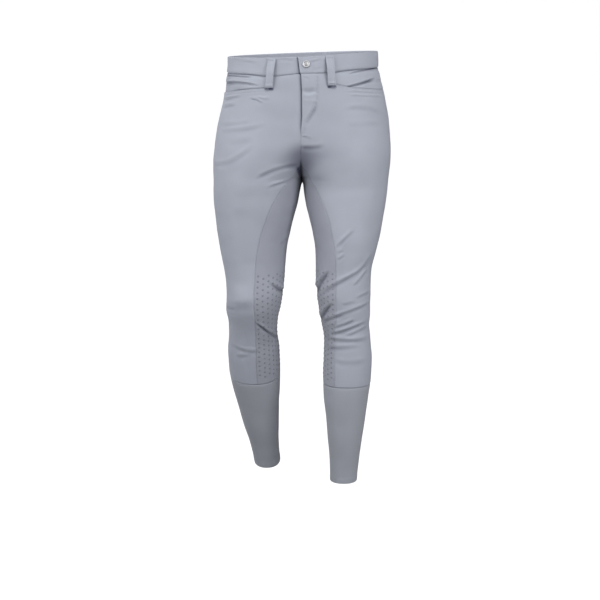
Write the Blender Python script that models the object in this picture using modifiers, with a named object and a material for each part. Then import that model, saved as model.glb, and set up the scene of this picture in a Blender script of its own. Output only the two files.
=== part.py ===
"""Men's riding breeches, held hollow as when worn in mid-stride (Blender 4.5, metres).

The origin is the centre of the waistband's ring, half-way up it. +Z points up, the front
faces -Y and +X is the wearer's left. Every cloth piece is a patch of one hollow form: a
stack of rings round each side of the garment, worked out from the section tables.
"""

import math

import bmesh
import bpy
import numpy as np
from mathutils import Vector

MM = 0.001

# Cloth and seams.
CLOTH = 1.6 * MM
CUFF_CLOTH = 1.3 * MM
BAND_CLOTH = 3.0 * MM
SEAM_GAP = 0.3 * MM

# Levels that the pieces share: heights on the body's axis, from the waist.
PANEL_TOP = -16 * MM
POCKET_BLEND = -75 * MM
INNER_TOP = -203 * MM
INNER_BLEND = -265 * MM
KNEE_TOP = -385 * MM
KNEE_END = -575 * MM
CUFF_SEAM = -655 * MM
HEM = -865 * MM

# The rise: how the centre seam curves from front and back down to the fork.
ROUNDNESS = 2.2
FORK_TOUCH = -228 * MM
FRONT_RISE = 105 * MM
BACK_RISE = 125 * MM
FRONT_RISE_POWER = 2.4
BACK_RISE_POWER = 2.2
SADDLE = 3 * MM
SIDE_SEAM_BACK = 6 * MM

# Waistband, tab and pockets.
BAND_LIFT = 1.0 * MM
TAB_LIFT = 1.3 * MM
TAB_SLANT = 4 * MM
TAB_LENGTH = 38 * MM
UNDERLAP = 30 * MM
UNDERLAP_DEPTH = 2.4 * MM
FLY_LIFT = 1.2 * MM
FLY_WIDTH = 32 * MM
FLY_END = -142 * MM
FACING_DEPTH = 3.2 * MM
FACING_TUCK = 12 * MM
SEAM_TUCK = 5 * MM
MOUTH_LIFT = 0.8 * MM
MOUTH_STEP = (57 * MM, 68 * MM)

# Belt loops.
LOOP_WIDTH = 16 * MM
LOOP_CLOTH = 1.8 * MM
LOOP_FOLD = 3.4 * MM
LOOP_FOLD_LENGTH = 6 * MM
LOOP_ARCH = 4.0 * MM
LOOP_FOOT = 1.1 * MM
FRONT_LOOPS = (
    # name, distance from the centre front at the top and at the foot, top level, foot level
    ("left", 57.5, 62.5, 18, -38.5),
    ("right", -55, -61.5, 13, -43.5),
)
BACK_LOOP_SPACING = 88 * MM
BACK_LOOP_ENDS = (16 * MM, -48 * MM)

# Waist button.
BUTTON_ACROSS = 12 * MM
BUTTON_LEVEL = 3 * MM
BUTTON_RADIUS = 7.5 * MM
BUTTON_PROFILE = (
    # radius, height above the tab, as shares of the button's radius
    (0.00, 0.40),
    (0.46, 0.38),
    (0.58, 0.30),
    (0.70, 0.40),
    (0.88, 0.36),
    (1.00, 0.20),
    (0.96, 0.08),
    (0.60, 0.04),
    (0.00, 0.04),
)

# Sections of the leg that strides forward, the wearer's left (mm and degrees).
LEFT_SECTIONS = (
    # level, centre, outer, gap, depth, tilt
    (30, 0, 150.5, 0, 0, 0),
    (0, 0, 153, 0, 0, 0),
    (-25, 5, 152.5, 0, 0, 0),
    (-50, 12, 152.5, 0, 2, 0),
    (-80, 24, 147, 0, 5, 0),
    (-110, 38, 138.5, 0, 8, 0),
    (-140, 52, 127.5, 0, 8, 0),
    (-170, 66, 115.5, 0, 7, 0),
    (-200, 78, 103, 0, 6, 0),
    (-225, 86, 92.5, 0, 5, 0),
    (-243, 88, 88.6, 3, 4, 0),
    (-260, 89, 86, 4.3, 0, 0),
    (-285, 90, 82, 8.2, -5, 0),
    (-310, 91, 76.5, 14.5, -11, 0),
    (-345, 92.3, 69.6, 22.7, -20, 0),
    (-380, 90.8, 62.2, 28.6, -29, 0),
    (-415, 86.8, 57.5, 29.3, -37, 0),
    (-440, 86.5, 56.2, 30.3, -42, 0),
    (-465, 87.2, 55.5, 31.7, -45, 0),
    (-490, 88.8, 53.3, 35.5, -46, 0),
    (-515, 90.2, 51.5, 38.7, -47, 0),
    (-530, 91.3, 48.5, 42.8, -47, 0),
    (-560, 95.3, 48, 47.3, -47, 0),
    (-600, 96.5, 50, 46.5, -48, 0),
    (-640, 95.3, 50, 45.3, -48, 0),
    (-685, 93.3, 46.3, 47, -49, 0),
    (-727, 93, 41.2, 51.8, -49, 0),
    (-771, 91.7, 36.3, 55.4, -50, 0),
    (-815, 90.8, 31.5, 59.3, -50, 0),
    (-870, 89, 27.5, 61.5, -50, 0),
)
# Sections of the trailing leg, the wearer's right, whose shank slopes back.
RIGHT_SECTIONS = (
    # level, centre, outer, gap, depth, tilt
    (30, 0, 149.5, 0, 0, 0),
    (0, 0, 150.5, 0, 0, 0),
    (-25, 5, 150.5, 0, 0, 0),
    (-50, 12, 146, 0, 2, 0),
    (-80, 24, 139.5, 0, 5, 0),
    (-110, 38, 133.5, 0, 8, 0),
    (-140, 52, 125.5, 0, 8, 0),
    (-170, 66, 115, 0, 7, 0),
    (-200, 79, 105.5, 0, 6, 0),
    (-225, 88, 96, 0, 5, 0),
    (-243, 92.4, 91.4, 3, 4, 0),
    (-260, 95, 89.3, 5.9, 4, 0),
    (-285, 96.7, 87, 10.3, 3.5, 0),
    (-310, 98.5, 82, 16.8, 3, 0),
    (-345, 101.2, 75.7, 25.5, 0, 0),
    (-380, 101.6, 69.2, 32.4, -5, 0),
    (-415, 99.5, 64, 35.5, -11, 1),
    (-440, 98, 61, 37, -16, 3),
    (-465, 98.2, 58.7, 39.5, -20, 6),
    (-490, 100.5, 57.2, 43.3, -18.5, 9),
    (-505, 103, 56.6, 46.4, -14, 11),
    (-525, 103.2, 52.2, 51, -8, 13),
    (-560, 104.3, 50.5, 53.8, 2, 15),
    (-600, 104, 54.5, 49.5, 12, 15),
    (-640, 103.1, 54.2, 48.9, 23, 15),
    (-685, 100.1, 50.2, 49.9, 35, 15),
    (-727, 96.5, 43.8, 52.7, 46, 15),
    (-771, 92, 38.3, 53.7, 57, 15),
    (-815, 86.5, 31.5, 55, 69, 15),
    (-870, 80, 27.5, 52.5, 83, 15),
)
# How far each section reaches forward and back from its centre, on both legs.
DEPTHS = (
    # level, front, back
    (30, 112, 112),
    (0, 112, 112),
    (-25, 114, 114),
    (-50, 115, 118),
    (-80, 117, 125),
    (-110, 118, 131),
    (-140, 117, 133),
    (-170, 115, 129),
    (-200, 111, 118),
    (-225, 107, 105),
    (-240, 105, 99),
    (-260, 102, 96),
    (-285, 99, 94),
    (-310, 95, 92),
    (-345, 88, 86),
    (-380, 79, 78),
    (-415, 70, 70),
    (-440, 66, 66),
    (-465, 65, 62),
    (-490, 62, 60),
    (-515, 58, 60),
    (-545, 54, 60),
    (-577, 53, 63),
    (-600, 53, 66),
    (-640, 53, 67),
    (-685, 50, 62),
    (-727, 46, 54),
    (-771, 42, 46),
    (-815, 37, 39),
    (-870, 33, 35),
)

# The waistband's edges across the front; at the back they run straight from side to side.
BAND_EDGES = (
    # across, top, bottom
    (150, 25.5, -6.5),
    (100, 23, -9),
    (50, 19.5, -14.5),
    (0, 16.5, -16),
    (-60, 15, -21),
    (-110, 14.5, -17.5),
    (-150, 14.5, -17),
)
# Pocket mouths, from the belt loop out to the side seam.
LEFT_MOUTH = (
    # across, level
    (160, -51),
    (128, -47),
    (102, -44),
    (88, -41),
    (73, -37),
    (50, -34),
)
RIGHT_MOUTH = (
    # across, level
    (160, -59.5),
    (121, -51),
    (104, -48.5),
    (76, -45.5),
    (50, -44),
)
# Seams of the inner leg panels, as distances from the centre plane.
LEFT_INNER_SEAMS = (
    # level, front, back
    (-203, 0, 0),
    (-216, 12, 12),
    (-230, 20, 25),
    (-249, 32, 38),
    (-266, 41, 48),
    (-288, 50.5, 58),
    (-307, 57.5, 65),
    (-331, 62.5, 71),
    (-357, 68, 75),
    (-377, 71, 76),
    (-418, 72, 77),
    (-490, 73, 78),
    (-533, 71, 82),
    (-570, 69, 86),
    (-655, 70, 88),
)
RIGHT_INNER_SEAMS = (
    # level, front, back
    (-203, 0, 0),
    (-214, 9, 10),
    (-227, 21, 23),
    (-238, 30, 33),
    (-251, 40.5, 44),
    (-275, 55, 61),
    (-300, 66.5, 72),
    (-326, 76, 80),
    (-357, 85.5, 88),
    (-388, 91, 92),
    (-424, 94, 95),
    (-474, 96, 97),
    (-519, 95, 99),
    (-655, 95, 99),
)
# The largest folds, as seen from the front (or through the part, on the back). Each is a
# trough with a soft ridge on its left as it runs from its start to its end.
FOLDS = (
    # face, x start, z start, x end, z end, bow, depth, width, ridge
    ("front", 35, -468, 139, -389, 0, 3.6, 7, 0.0),
    ("front", 52, -462, 137, -408, 2, -1.8, 9, 0.0),
    ("front", 33, -444, 50, -414, 0, 2.6, 6, 1.2),
    ("front", 64, -501, 143, -482, 4, 3.0, 7, 1.4),
    ("front", 37, -516, 62, -472, 0, 2.6, 7, 1.2),
    ("front", 74, -360, 106, -324, 0, 2.0, 6, 1.2),
    ("front", -60, -441, -38, -463, 2, 3.0, 7, 1.2),
    ("front", -92, -521, -55, -564, 3, 3.0, 8, 1.2),
    ("front", -90, -219, -18, -205, 8, 3.0, 9, 0.8),
    ("front", -68, -243, -16, -227, 2, 2.0, 8, 1.2),
    ("front", -184, -201, -98, -160, -8, 2.4, 11, 0.8),
    ("back", 44, -452, 132, -440, -6, 3.6, 9, 1.0),
    ("back", 46, -482, 128, -474, 5, 2.6, 8, 0.8),
    ("back", -52, -470, -146, -462, 6, 4.2, 9, 1.0),
    ("back", -56, -500, -142, -498, -6, 3.0, 8, 0.8),
    ("back", 24, -246, 150, -206, 14, 3.2, 13, 1.0),
    ("back", -26, -248, -156, -214, -14, 3.4, 13, 1.0),
)
FACING_FOLDS = (
    # face, x start, z start, x end, z end, bow, depth, width, ridge
    ("front", -160, -39, -80, -40, -4, 1.4, 6, 0.0),
    ("front", 90, -42, 158, -31, -3, 1.4, 6, 0.0),
)

# Grid lines across each piece, and where its rows lie.
FRONT_COLUMNS = (0, 0.07, 0.14, 0.21, 0.283, 0.335, 0.42, 0.51, 0.6, 0.7, 0.8, 0.9, 1)
BACK_COLUMNS = 10
INNER_COLUMNS = 4
BAND_COLUMNS = 22
CUFF_COLUMNS = 18
FACING_COLUMNS = 8
LOOP_COLUMNS = 2
LOOP_ROWS = 8
RING_STEP = 2 * MM
RING_POINTS = 200
QUARTER_POINTS = 60


def table(names, rows):
    """A table's columns by name, in metres (a tilt stays in degrees)."""
    columns = dict(zip(names.split(), np.array(rows, float).T))
    return {name: values if name == "tilt" else values * MM for name, values in columns.items()}


def smooth(places, values, at):
    """A curve through a column that never swings past its rows; places fall from row to row."""
    x, y = places[::-1], values[::-1]
    step = np.diff(x)
    slope = np.diff(y) / step
    steady = slope[1:] * slope[:-1] > 0
    before, after = slope[:-1][steady], slope[1:][steady]
    near, far = (2 * step[1:] + step[:-1])[steady], (step[1:] + 2 * step[:-1])[steady]
    tangent = np.zeros_like(y)
    tangent[1:-1][steady] = (near + far) / (near / before + far / after)
    tangent[0], tangent[-1] = slope[0], slope[-1]
    i = np.clip(np.searchsorted(x, at) - 1, 0, len(step) - 1)
    t = np.clip((at - x[i]) / step[i], 0, 1)
    start = y[i] * (1 + 2 * t) + tangent[i] * step[i] * t
    end = y[i + 1] * (3 - 2 * t) + tangent[i + 1] * step[i] * (t - 1)
    return start * (1 - t) ** 2 + end * t**2


def ease(t):
    """0 to 1 with soft ends."""
    t = np.clip(t, 0, 1)
    return t * t * (3 - 2 * t)


def rise(level, height, power):
    """How far forward or back of the fork the centre seam lies at a level, from 0 to 1."""
    left_to_go = 1 - np.clip((level - FORK_TOUCH) / height, 0, 1)
    return (1 - left_to_go**power) ** (1 / power)


def ring_outline(cut):
    """One side's outline at a level, from the centre front (or inseam) round to the back."""
    bend = 2 / ROUNDNESS
    share = np.linspace(0, 1, QUARTER_POINTS)
    closed = cut["level"] < FORK_TOUCH
    reach = cut["centre"] - (cut["gap"] if closed else 0)

    def inner_quarter(height, power, depth):
        turn = max(math.acos(rise(cut["level"], height, power) ** (1 / bend)), MM)
        across = cut["centre"] - reach * (np.sin(share * turn) / math.sin(turn)) ** bend
        return across, depth * np.cos(share * turn) ** bend

    front_x, front_y = inner_quarter(FRONT_RISE, FRONT_RISE_POWER, cut["front"])
    back_x, back_y = inner_quarter(BACK_RISE, BACK_RISE_POWER, cut["back"])
    quarter = share * math.pi / 2
    outer_x = cut["centre"] + cut["outer"] * np.sin(quarter) ** bend
    outer_y = np.maximum(np.cos(quarter), 0) ** bend
    x = np.concatenate([front_x[::-1], outer_x[1:], outer_x[-2::-1], back_x[1:]])
    y = np.concatenate(
        [-front_y[::-1], -cut["front"] * outer_y[1:], cut["back"] * outer_y[-2::-1], back_y[1:]]
    )
    return x, y + cut["depth"]


def rounded_at_centre(x, y):
    """The outline cut where it nears the other side, and rounded so that the two flow together."""
    inside = np.flatnonzero(x >= SADDLE)
    first, last = inside[0], inside[-1]
    ends = []
    for here, there in ((first, first - 1), (last, last + 1)):
        if 0 <= there < len(x):
            t = (SADDLE - x[there]) / (x[here] - x[there])
            ends.append(y[there] + t * (y[here] - y[there]))
        else:
            ends.append(None)
    x, y = x[first : last + 1], y[first : last + 1]
    if ends[0] is not None:
        x, y = np.r_[SADDLE, x], np.r_[ends[0], y]
    if ends[1] is not None:
        x, y = np.r_[x, SADDLE], np.r_[y, ends[1]]
    return np.sqrt(np.maximum(x**2 - SADDLE**2, 0)), y


class Side:
    """One side of the garment: rings of evenly spaced points at every level, and their normals."""

    def __init__(self, sign, sections, inner_seams, mouth):
        self.sign = sign
        self.inner_seams = table("level front back", inner_seams)
        self.mouth = table("across level", mouth)
        shape = table("level centre outer gap depth tilt", sections)
        depths = table("level front back", DEPTHS)
        top = shape["level"][0] - RING_STEP / 2
        self.levels = np.arange(top, shape["level"][-1], -RING_STEP)
        cuts = {"level": self.levels}
        for source in (shape, depths):
            for name in source.keys() - {"level"}:
                cuts[name] = smooth(source["level"], source[name], self.levels)
        self.depth = cuts["depth"]
        self.shares = np.linspace(0, 1, RING_POINTS + 1)
        rings = []
        self.lengths = np.zeros(len(self.levels))
        for i in range(len(self.levels)):
            cut = {name: values[i] for name, values in cuts.items()}
            x, y = rounded_at_centre(*ring_outline(cut))
            run = np.r_[0, np.cumsum(np.hypot(np.diff(x), np.diff(y)))]
            self.lengths[i] = run[-1]
            x = np.interp(self.shares * run[-1], run, x)
            y = np.interp(self.shares * run[-1], run, y)
            slope = math.tan(math.radians(cut["tilt"]))
            rings.append(np.stack([x, y, cut["level"] + (y - cut["depth"]) * slope], 1))
        self.points = np.array(rings)
        around = np.gradient(self.points, axis=1)
        down = np.gradient(self.points, axis=0)
        normals = np.cross(down, around)
        self.normals = normals / np.linalg.norm(normals, axis=2, keepdims=True)

    def length(self, level):
        return np.interp(-level, -self.levels, self.lengths)

    def at(self, level, share):
        """Points and outward normals at levels and shares of the way round, front to back."""
        row = np.clip((self.levels[0] - level) / RING_STEP, 0, len(self.levels) - 1.001)
        column = np.clip(share, 0, 1) * (RING_POINTS - 1e-6)
        i, j = row.astype(int), column.astype(int)
        s, t = (row - i)[..., None], (column - j)[..., None]
        found = []
        for grid in (self.points, self.normals):
            upper = grid[i, j] * (1 - t) + grid[i, j + 1] * t
            lower = grid[i + 1, j] * (1 - t) + grid[i + 1, j + 1] * t
            found.append((upper * (1 - s) + lower * s) * (self.sign, 1, 1))
        return found

    def share_where(self, level, axis, value, part):
        """The share where a ring reaches a distance out (axis 0) or a depth (axis 1)."""
        shares = []
        for one_level, one_value in zip(np.atleast_1d(level), np.atleast_1d(value)):
            row = int(round((self.levels[0] - one_level) / RING_STEP))
            ring = self.points[min(row, len(self.levels) - 1)]
            foremost, widest, rearmost = ring[:, 1].argmin(), ring[:, 0].argmax(), ring[:, 1].argmax()
            low, high = {
                "front": (0, widest),
                "side": (foremost, rearmost),
                "back": (widest, RING_POINTS),
            }[part]
            places, shares_here = ring[low : high + 1, axis], self.shares[low : high + 1]
            if part == "back":
                places, shares_here = places[::-1], shares_here[::-1]
            shares.append(np.interp(one_value, places, shares_here))
        return np.array(shares)

    def side_seam(self, level):
        depth = np.interp(-level, -self.levels, self.depth)
        return self.share_where(level, 1, depth + SIDE_SEAM_BACK, "side")

    def front_seam(self, level):
        """The front edge of the inner leg panel, or the centre front above it."""
        out = smooth(self.inner_seams["level"], self.inner_seams["front"], level)
        return np.where(level < INNER_TOP, self.share_where(level, 0, out, "front"), 0)

    def back_seam(self, level):
        """The back edge of the inner leg panel, or the centre back above it."""
        out = smooth(self.inner_seams["level"], self.inner_seams["back"], level)
        return np.where(level < INNER_TOP, self.share_where(level, 0, out, "back"), 1)

    def band_edge(self, edge, share):
        """The level of the waistband's top or bottom edge at a share of the way round."""
        edges = table("across top bottom", BAND_EDGES)
        place = self.at(np.full(np.shape(share), PANEL_TOP), share)[0]
        across = place[..., 0]
        front = smooth(edges["across"], edges[edge], across)
        high, low = edges[edge][0], edges[edge][-1]
        back = (high + low) / 2 + (high - low) / 2 * across / edges["across"][0]
        return front + (back - front) * ease(place[..., 1] / (30 * MM) + 0.5)

    def mouth_level(self, share):
        place = self.at(np.full(np.shape(share), PANEL_TOP), share)[0]
        return smooth(self.mouth["across"], self.mouth["level"], np.abs(place[..., 0]))


LEFT = Side(1, LEFT_SECTIONS, LEFT_INNER_SEAMS, LEFT_MOUTH)
RIGHT = Side(-1, RIGHT_SECTIONS, RIGHT_INNER_SEAMS, RIGHT_MOUTH)
SIDES = {"left": LEFT, "right": RIGHT}


def fold_height(folds, side, level, points):
    """How far the folds push points out (ridges) or in (troughs)."""
    depth = np.interp(-level, -side.levels, side.depth)
    front = ease(0.5 - (points[..., 1] - depth) / (40 * MM))
    height = np.zeros(points.shape[:-1])
    for face, *sizes in folds:
        x0, z0, x1, z1, bow, deep, width, ridge = np.array(sizes) * MM
        run = np.array([x1 - x0, z1 - z0])
        length = np.hypot(*run)
        run /= length
        from_start = points[..., [0, 2]] - (x0, z0)
        along = (from_start @ run) / length
        inside = np.clip(along, 0, 1)
        aside = from_start @ np.array([-run[1], run[0]]) - bow * 4 * inside * (1 - inside)
        fade = ease(np.minimum(along, 1 - along) * 3.2 + 0.15)
        trough = deep * np.exp(-((aside / width) ** 2))
        crest = ridge * np.exp(-(((aside - 1.9 * width) / (1.3 * width)) ** 2))
        height += (crest - trough) * fade * (front if face == "front" else 1 - front)
    return height


def to_signed(run, level):
    """Points at signed distances round from the centre front: the wearer's left is positive."""
    left = LEFT.at(level, np.clip(run / LEFT.length(level), 0, 1))
    right = RIGHT.at(level, np.clip(-run / RIGHT.length(level), 0, 1))
    on_left = (run >= 0)[..., None]
    return [np.where(on_left, a, b) for a, b in zip(left, right)]


def cloth_object(name, place, columns, rows, material):
    """A wall of cloth: a grid whose lines lie at the given shares, placed as its outer face,
    and the same grid again one thickness further in. place gives points, normals, thickness."""
    bm = bmesh.new()
    bmesh.ops.create_grid(bm, x_segments=len(columns) - 1, y_segments=len(rows) - 1, size=0.5)
    outer = list(bm.verts)
    bmesh.ops.extrude_face_region(bm, geom=bm.faces[:], use_keep_orig=True)
    outer_set = set(outer)
    inner = [vert for vert in bm.verts if vert not in outer_set]
    for verts, depth in ((outer, 0), (inner, 1)):
        grid = np.array([vert.co[:2] for vert in verts]) + 0.5
        column = np.rint(grid[:, 0] * (len(columns) - 1)).astype(int)
        row = np.rint(grid[:, 1] * (len(rows) - 1)).astype(int)
        points, normals, thickness = place(np.array(columns)[column], np.array(rows)[row])
        for vert, point in zip(verts, points - normals * (thickness * depth)[:, None]):
            vert.co = point
    bmesh.ops.recalc_face_normals(bm, faces=bm.faces[:])
    if bm.calc_volume(signed=True) < 0:
        bmesh.ops.reverse_faces(bm, faces=bm.faces[:])
    mesh = bpy.data.meshes.new(name)
    bm.to_mesh(mesh)
    bm.free()
    mesh.shade_smooth()
    mesh.set_sharp_from_angle(angle=math.radians(50))
    return linked(name, mesh, material)


def linked(name, mesh, material):
    obj = bpy.data.objects.new(name, mesh)
    mesh.materials.append(material)
    bpy.data.collections["riding_breeches"].objects.link(obj)
    return obj


def lines(*stretches):
    """Levels from one stretch to the next: (start, end, cells) in turn, with no level twice."""
    levels = [np.linspace(start, end, cells, endpoint=False) for start, end, cells in stretches]
    return np.r_[np.concatenate(levels), stretches[-1][1]]


def shares(count):
    return np.linspace(0, 1, count + 1)


# Rows of the leg panels, so that neighbours have their corners at the same levels.
TRUNK_ROWS = lines((PANEL_TOP, POCKET_BLEND, 4), (POCKET_BLEND, INNER_TOP, 7))
FORK_ROWS = lines((INNER_TOP, INNER_BLEND, 4))
LEG_ROWS = lines(
    (INNER_BLEND, KNEE_TOP, 6), (KNEE_TOP, KNEE_END, 19), (KNEE_END, CUFF_SEAM + SEAM_GAP / 2, 4)
)
PANEL_ROWS = np.r_[TRUNK_ROWS[:-1], FORK_ROWS[:-1], LEG_ROWS]


def seam_share(side, level):
    """Half of a seam's gap as a share of the way round."""
    return SEAM_GAP / 2 / side.length(level)


def hung_from(top, level):
    """A row's level where the row nearest the waist follows the panel's own top edge."""
    drop = np.clip((level - POCKET_BLEND) / (PANEL_TOP - POCKET_BLEND), 0, 1)
    return level + (top - PANEL_TOP) * drop


def front_top(side, share):
    """The front's top edge: the waistband seam, then down to the mouth of the pocket."""
    out = np.abs(side.at(np.full(np.shape(share), PANEL_TOP), share)[0][..., 0])
    waist = side.band_edge("bottom", share) - SEAM_GAP
    step = (out - MOUTH_STEP[0]) / (MOUTH_STEP[1] - MOUTH_STEP[0])
    return waist + (side.mouth_level(share) - waist) * np.clip(step, 0, 1)


def front_share(side, level, across):
    start = side.front_seam(level) + seam_share(side, level)
    end = side.side_seam(level) - seam_share(side, level)
    return start + (end - start) * across


def back_share(side, level, across):
    start = side.side_seam(level) + seam_share(side, level)
    end = side.back_seam(level) - seam_share(side, level)
    return start + (end - start) * across


def make_front(name, side, material):
    def place(across, level):
        top = front_top(side, front_share(side, level, across))
        level = hung_from(top, level)
        points, normals = side.at(level, front_share(side, level, across))
        lift = fold_height(FOLDS, side, level, points)
        at_mouth = ease(1 - (top - level) / (14 * MM)) * (np.abs(points[:, 0]) > MOUTH_STEP[1])
        lift += MOUTH_LIFT * at_mouth
        if side is LEFT:
            width = FLY_WIDTH * ease((level - FLY_END) / (45 * MM))
            lift += FLY_LIFT * ease((width - points[:, 0]) / (8 * MM) + 0.5)
        return points + normals * lift[:, None], normals, np.full(len(level), CLOTH)

    return cloth_object(name, place, FRONT_COLUMNS, PANEL_ROWS, material)


def make_back(name, side, material):
    def place(across, level):
        top = side.band_edge("bottom", back_share(side, level, across)) - SEAM_GAP
        level = hung_from(top, level)
        points, normals = side.at(level, back_share(side, level, across))
        lift = fold_height(FOLDS, side, level, points)
        return points + normals * lift[:, None], normals, np.full(len(level), CLOTH)

    return cloth_object(name, place, shares(BACK_COLUMNS), PANEL_ROWS, material)


def fork_table(side, seam):
    """Levels from the inner panel's top to the fork, and its reach from the seam to the centre."""
    levels = np.arange(INNER_TOP, FORK_TOUCH - 20 * MM, -MM)
    run = seam(levels) if seam == side.front_seam else 1 - seam(levels)
    run = run * side.length(levels)
    closed = side.at(levels, np.zeros(len(levels)))[0][:, 0] * side.sign > 0
    fork = np.argmax(closed)
    return levels[: fork + 1], np.maximum.accumulate(run[: fork + 1])


def make_inner_leg(name, side, material):
    """The inner leg panel: a front and a back horn that meet the other leg's at the fork."""
    front_levels, front_runs = fork_table(side, side.front_seam)
    back_levels, back_runs = fork_table(side, side.back_seam)
    fork = front_levels[-1]

    def place(across, level):
        from_seam = np.where(across <= 0.5, across, 1 - across) * 2
        front_top_level = np.interp(from_seam * front_runs[-1], front_runs, front_levels)
        back_top_level = np.interp(from_seam * back_runs[-1], back_runs, back_levels)
        top = np.where(across <= 0.5, front_top_level, back_top_level)
        blend = np.clip((level - INNER_BLEND) / (INNER_TOP - INNER_BLEND), 0, 1)
        level = level + (top - INNER_TOP) * blend
        length = side.length(level)
        front_run = side.front_seam(level) * length
        back_run = (1 - side.back_seam(level)) * length
        above = level >= fork
        front = np.where(above, front_run - from_seam * front_runs[-1], (1 - from_seam) * front_run)
        back = np.where(above, back_run - from_seam * back_runs[-1], (1 - from_seam) * back_run)
        gap = SEAM_GAP / 2
        front = np.clip(front, gap * above, front_run - gap)
        back = np.clip(back, gap * above, back_run - gap)
        share = np.where(across <= 0.5, front, length - back) / length
        points, normals = side.at(level, share)
        lift = fold_height(FOLDS, side, level, points)
        return points + normals * lift[:, None], normals, np.full(len(level), CLOTH)

    rows = np.r_[FORK_ROWS[:-1], LEG_ROWS]
    return cloth_object(name, place, shares(2 * INNER_COLUMNS), rows, material)


def make_facing(name, side, material):
    """The facing that shows above the pocket's mouth and runs on a little behind it."""

    def place(across, down):
        start = side.share_where(PANEL_TOP, 0, MOUTH_STEP[0] - SEAM_TUCK, "front")
        end = side.side_seam(PANEL_TOP) + SEAM_TUCK / side.length(PANEL_TOP)
        share = start + (end - start) * across
        top = side.band_edge("bottom", share) + SEAM_TUCK
        level = top + (side.mouth_level(share) - FACING_TUCK - top) * down
        points, normals = side.at(level, share)
        lift = fold_height(FACING_FOLDS, side, level, points) - FACING_DEPTH
        return points + normals * lift[:, None], normals, np.full(len(level), CLOTH)

    return cloth_object(name, place, shares(FACING_COLUMNS), shares(4), material)


def make_waistband(name, side, material):
    """Half of the waistband. The left half ends in the tab, over the right half's underlap."""

    def place(across, down):
        length = side.length(np.zeros(1)) - SEAM_GAP
        start = 0 if side is LEFT else -UNDERLAP
        run = start + (length - start) * across
        if side is LEFT:
            run = run - TAB_SLANT * (1 - down) * np.clip(1 - 12 * across, 0, 1)
        share = np.clip(run / length, 0, 1)
        top, bottom = (side.band_edge(edge, share) for edge in ("top", "bottom"))
        level = top + (bottom - top) * down
        points, normals = to_signed(run * side.sign, level)
        if side is LEFT:
            lift = BAND_LIFT + TAB_LIFT * ease((TAB_LENGTH - run) / (12 * MM))
        else:
            lift = BAND_LIFT - UNDERLAP_DEPTH * ease((12 * MM - run) / (6 * MM))
        return points + normals * lift[:, None], normals, np.full(len(level), BAND_CLOTH)

    near_tab = (TAB_LENGTH if side is LEFT else UNDERLAP + 12 * MM) / side.length(np.zeros(1))[0]
    steps = (0.35, 0.7, 1.0) if side is LEFT else (0.4, 0.83, 1.0)
    columns = np.unique(np.r_[shares(BAND_COLUMNS), near_tab * np.array(steps)])
    return cloth_object(name, place, columns, shares(2), material)


def make_cuff(name, side, material):
    """The stretch tube over the calf, sewn at the inside of the leg."""

    def place(across, level):
        edge = seam_share(side, level)
        points, normals = side.at(level, edge + (1 - 2 * edge) * across)
        return points, normals, np.full(len(level), CUFF_CLOTH)

    rows = lines((CUFF_SEAM - SEAM_GAP / 2, HEM, 7))
    return cloth_object(name, place, shares(CUFF_COLUMNS), rows, material)


def make_loop(name, ends, levels, at, material):
    """A belt loop: a strip that arches off the waistband, its lower end folded under.
    ends are the signed distances of its centre line at the top and at the foot."""

    def place(across, down):
        run = ends[0] + (ends[1] - ends[0]) * down + (across - 0.5) * LOOP_WIDTH
        level = levels[0] + (levels[1] - levels[0]) * down
        points, normals = at(run, level)
        foot = levels[0] - levels[1] - LOOP_FOLD_LENGTH
        folded = ease((down * (levels[0] - levels[1]) - foot) / (2 * MM) + 0.5)
        thickness = LOOP_CLOTH + (LOOP_FOLD - LOOP_CLOTH) * folded
        arch = np.sin(math.pi * np.clip(down * 1.12, 0, 1))
        clear = BAND_LIFT * (1 - ease((down - 0.45) / 0.2)) + LOOP_FOOT
        lift = clear + LOOP_ARCH * arch + thickness
        return points + normals * lift[:, None], normals, thickness

    rows = np.r_[shares(LOOP_ROWS)[:-1] * 0.9, 0.93, 1]
    return cloth_object(name, place, shares(LOOP_COLUMNS), rows, material)


def from_back(run, level):
    """Points at signed distances round from the centre back: the wearer's left is positive."""
    left = LEFT.at(level, 1 - np.clip(run / LEFT.length(level), 0, 1))
    right = RIGHT.at(level, 1 - np.clip(-run / RIGHT.length(level), 0, 1))
    on_left = (run >= 0)[..., None]
    return [np.where(on_left, a, b) for a, b in zip(left, right)]


def make_loops(material):
    for name, *sizes in FRONT_LOOPS:
        top, foot, top_level, foot_level = np.array(sizes) * MM
        ends, levels = (top, foot), (top_level, foot_level)
        make_loop("belt_loop_front_" + name, ends, levels, to_signed, material)
    for name, place in (("left", 1), ("centre", 0), ("right", -1)):
        ends = (place * BACK_LOOP_SPACING,) * 2
        make_loop("belt_loop_back_" + name, ends, BACK_LOOP_ENDS, from_back, material)


def make_button(material):
    """A domed metal button with one plain ring, standing on the tab."""
    mesh = bpy.data.meshes.new("waist_button")
    points = [(radius * BUTTON_RADIUS, 0, height * BUTTON_RADIUS) for radius, height in BUTTON_PROFILE]
    mesh.from_pydata(points, [(i, i + 1) for i in range(len(points) - 1)], [])
    button = linked("waist_button", mesh, material)
    screw = button.modifiers.new("turn", "SCREW")
    screw.steps = 24
    screw.render_steps = 24
    screw.use_merge_vertices = True
    screw.merge_threshold = 0.00005
    place, normal = to_signed(np.array([BUTTON_ACROSS]), np.array([BUTTON_LEVEL]))
    lift = BAND_LIFT + TAB_LIFT + SEAM_GAP
    button.location = place[0] + normal[0] * lift
    button.rotation_euler = Vector(normal[0]).to_track_quat("Z", "Y").to_euler()


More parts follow.
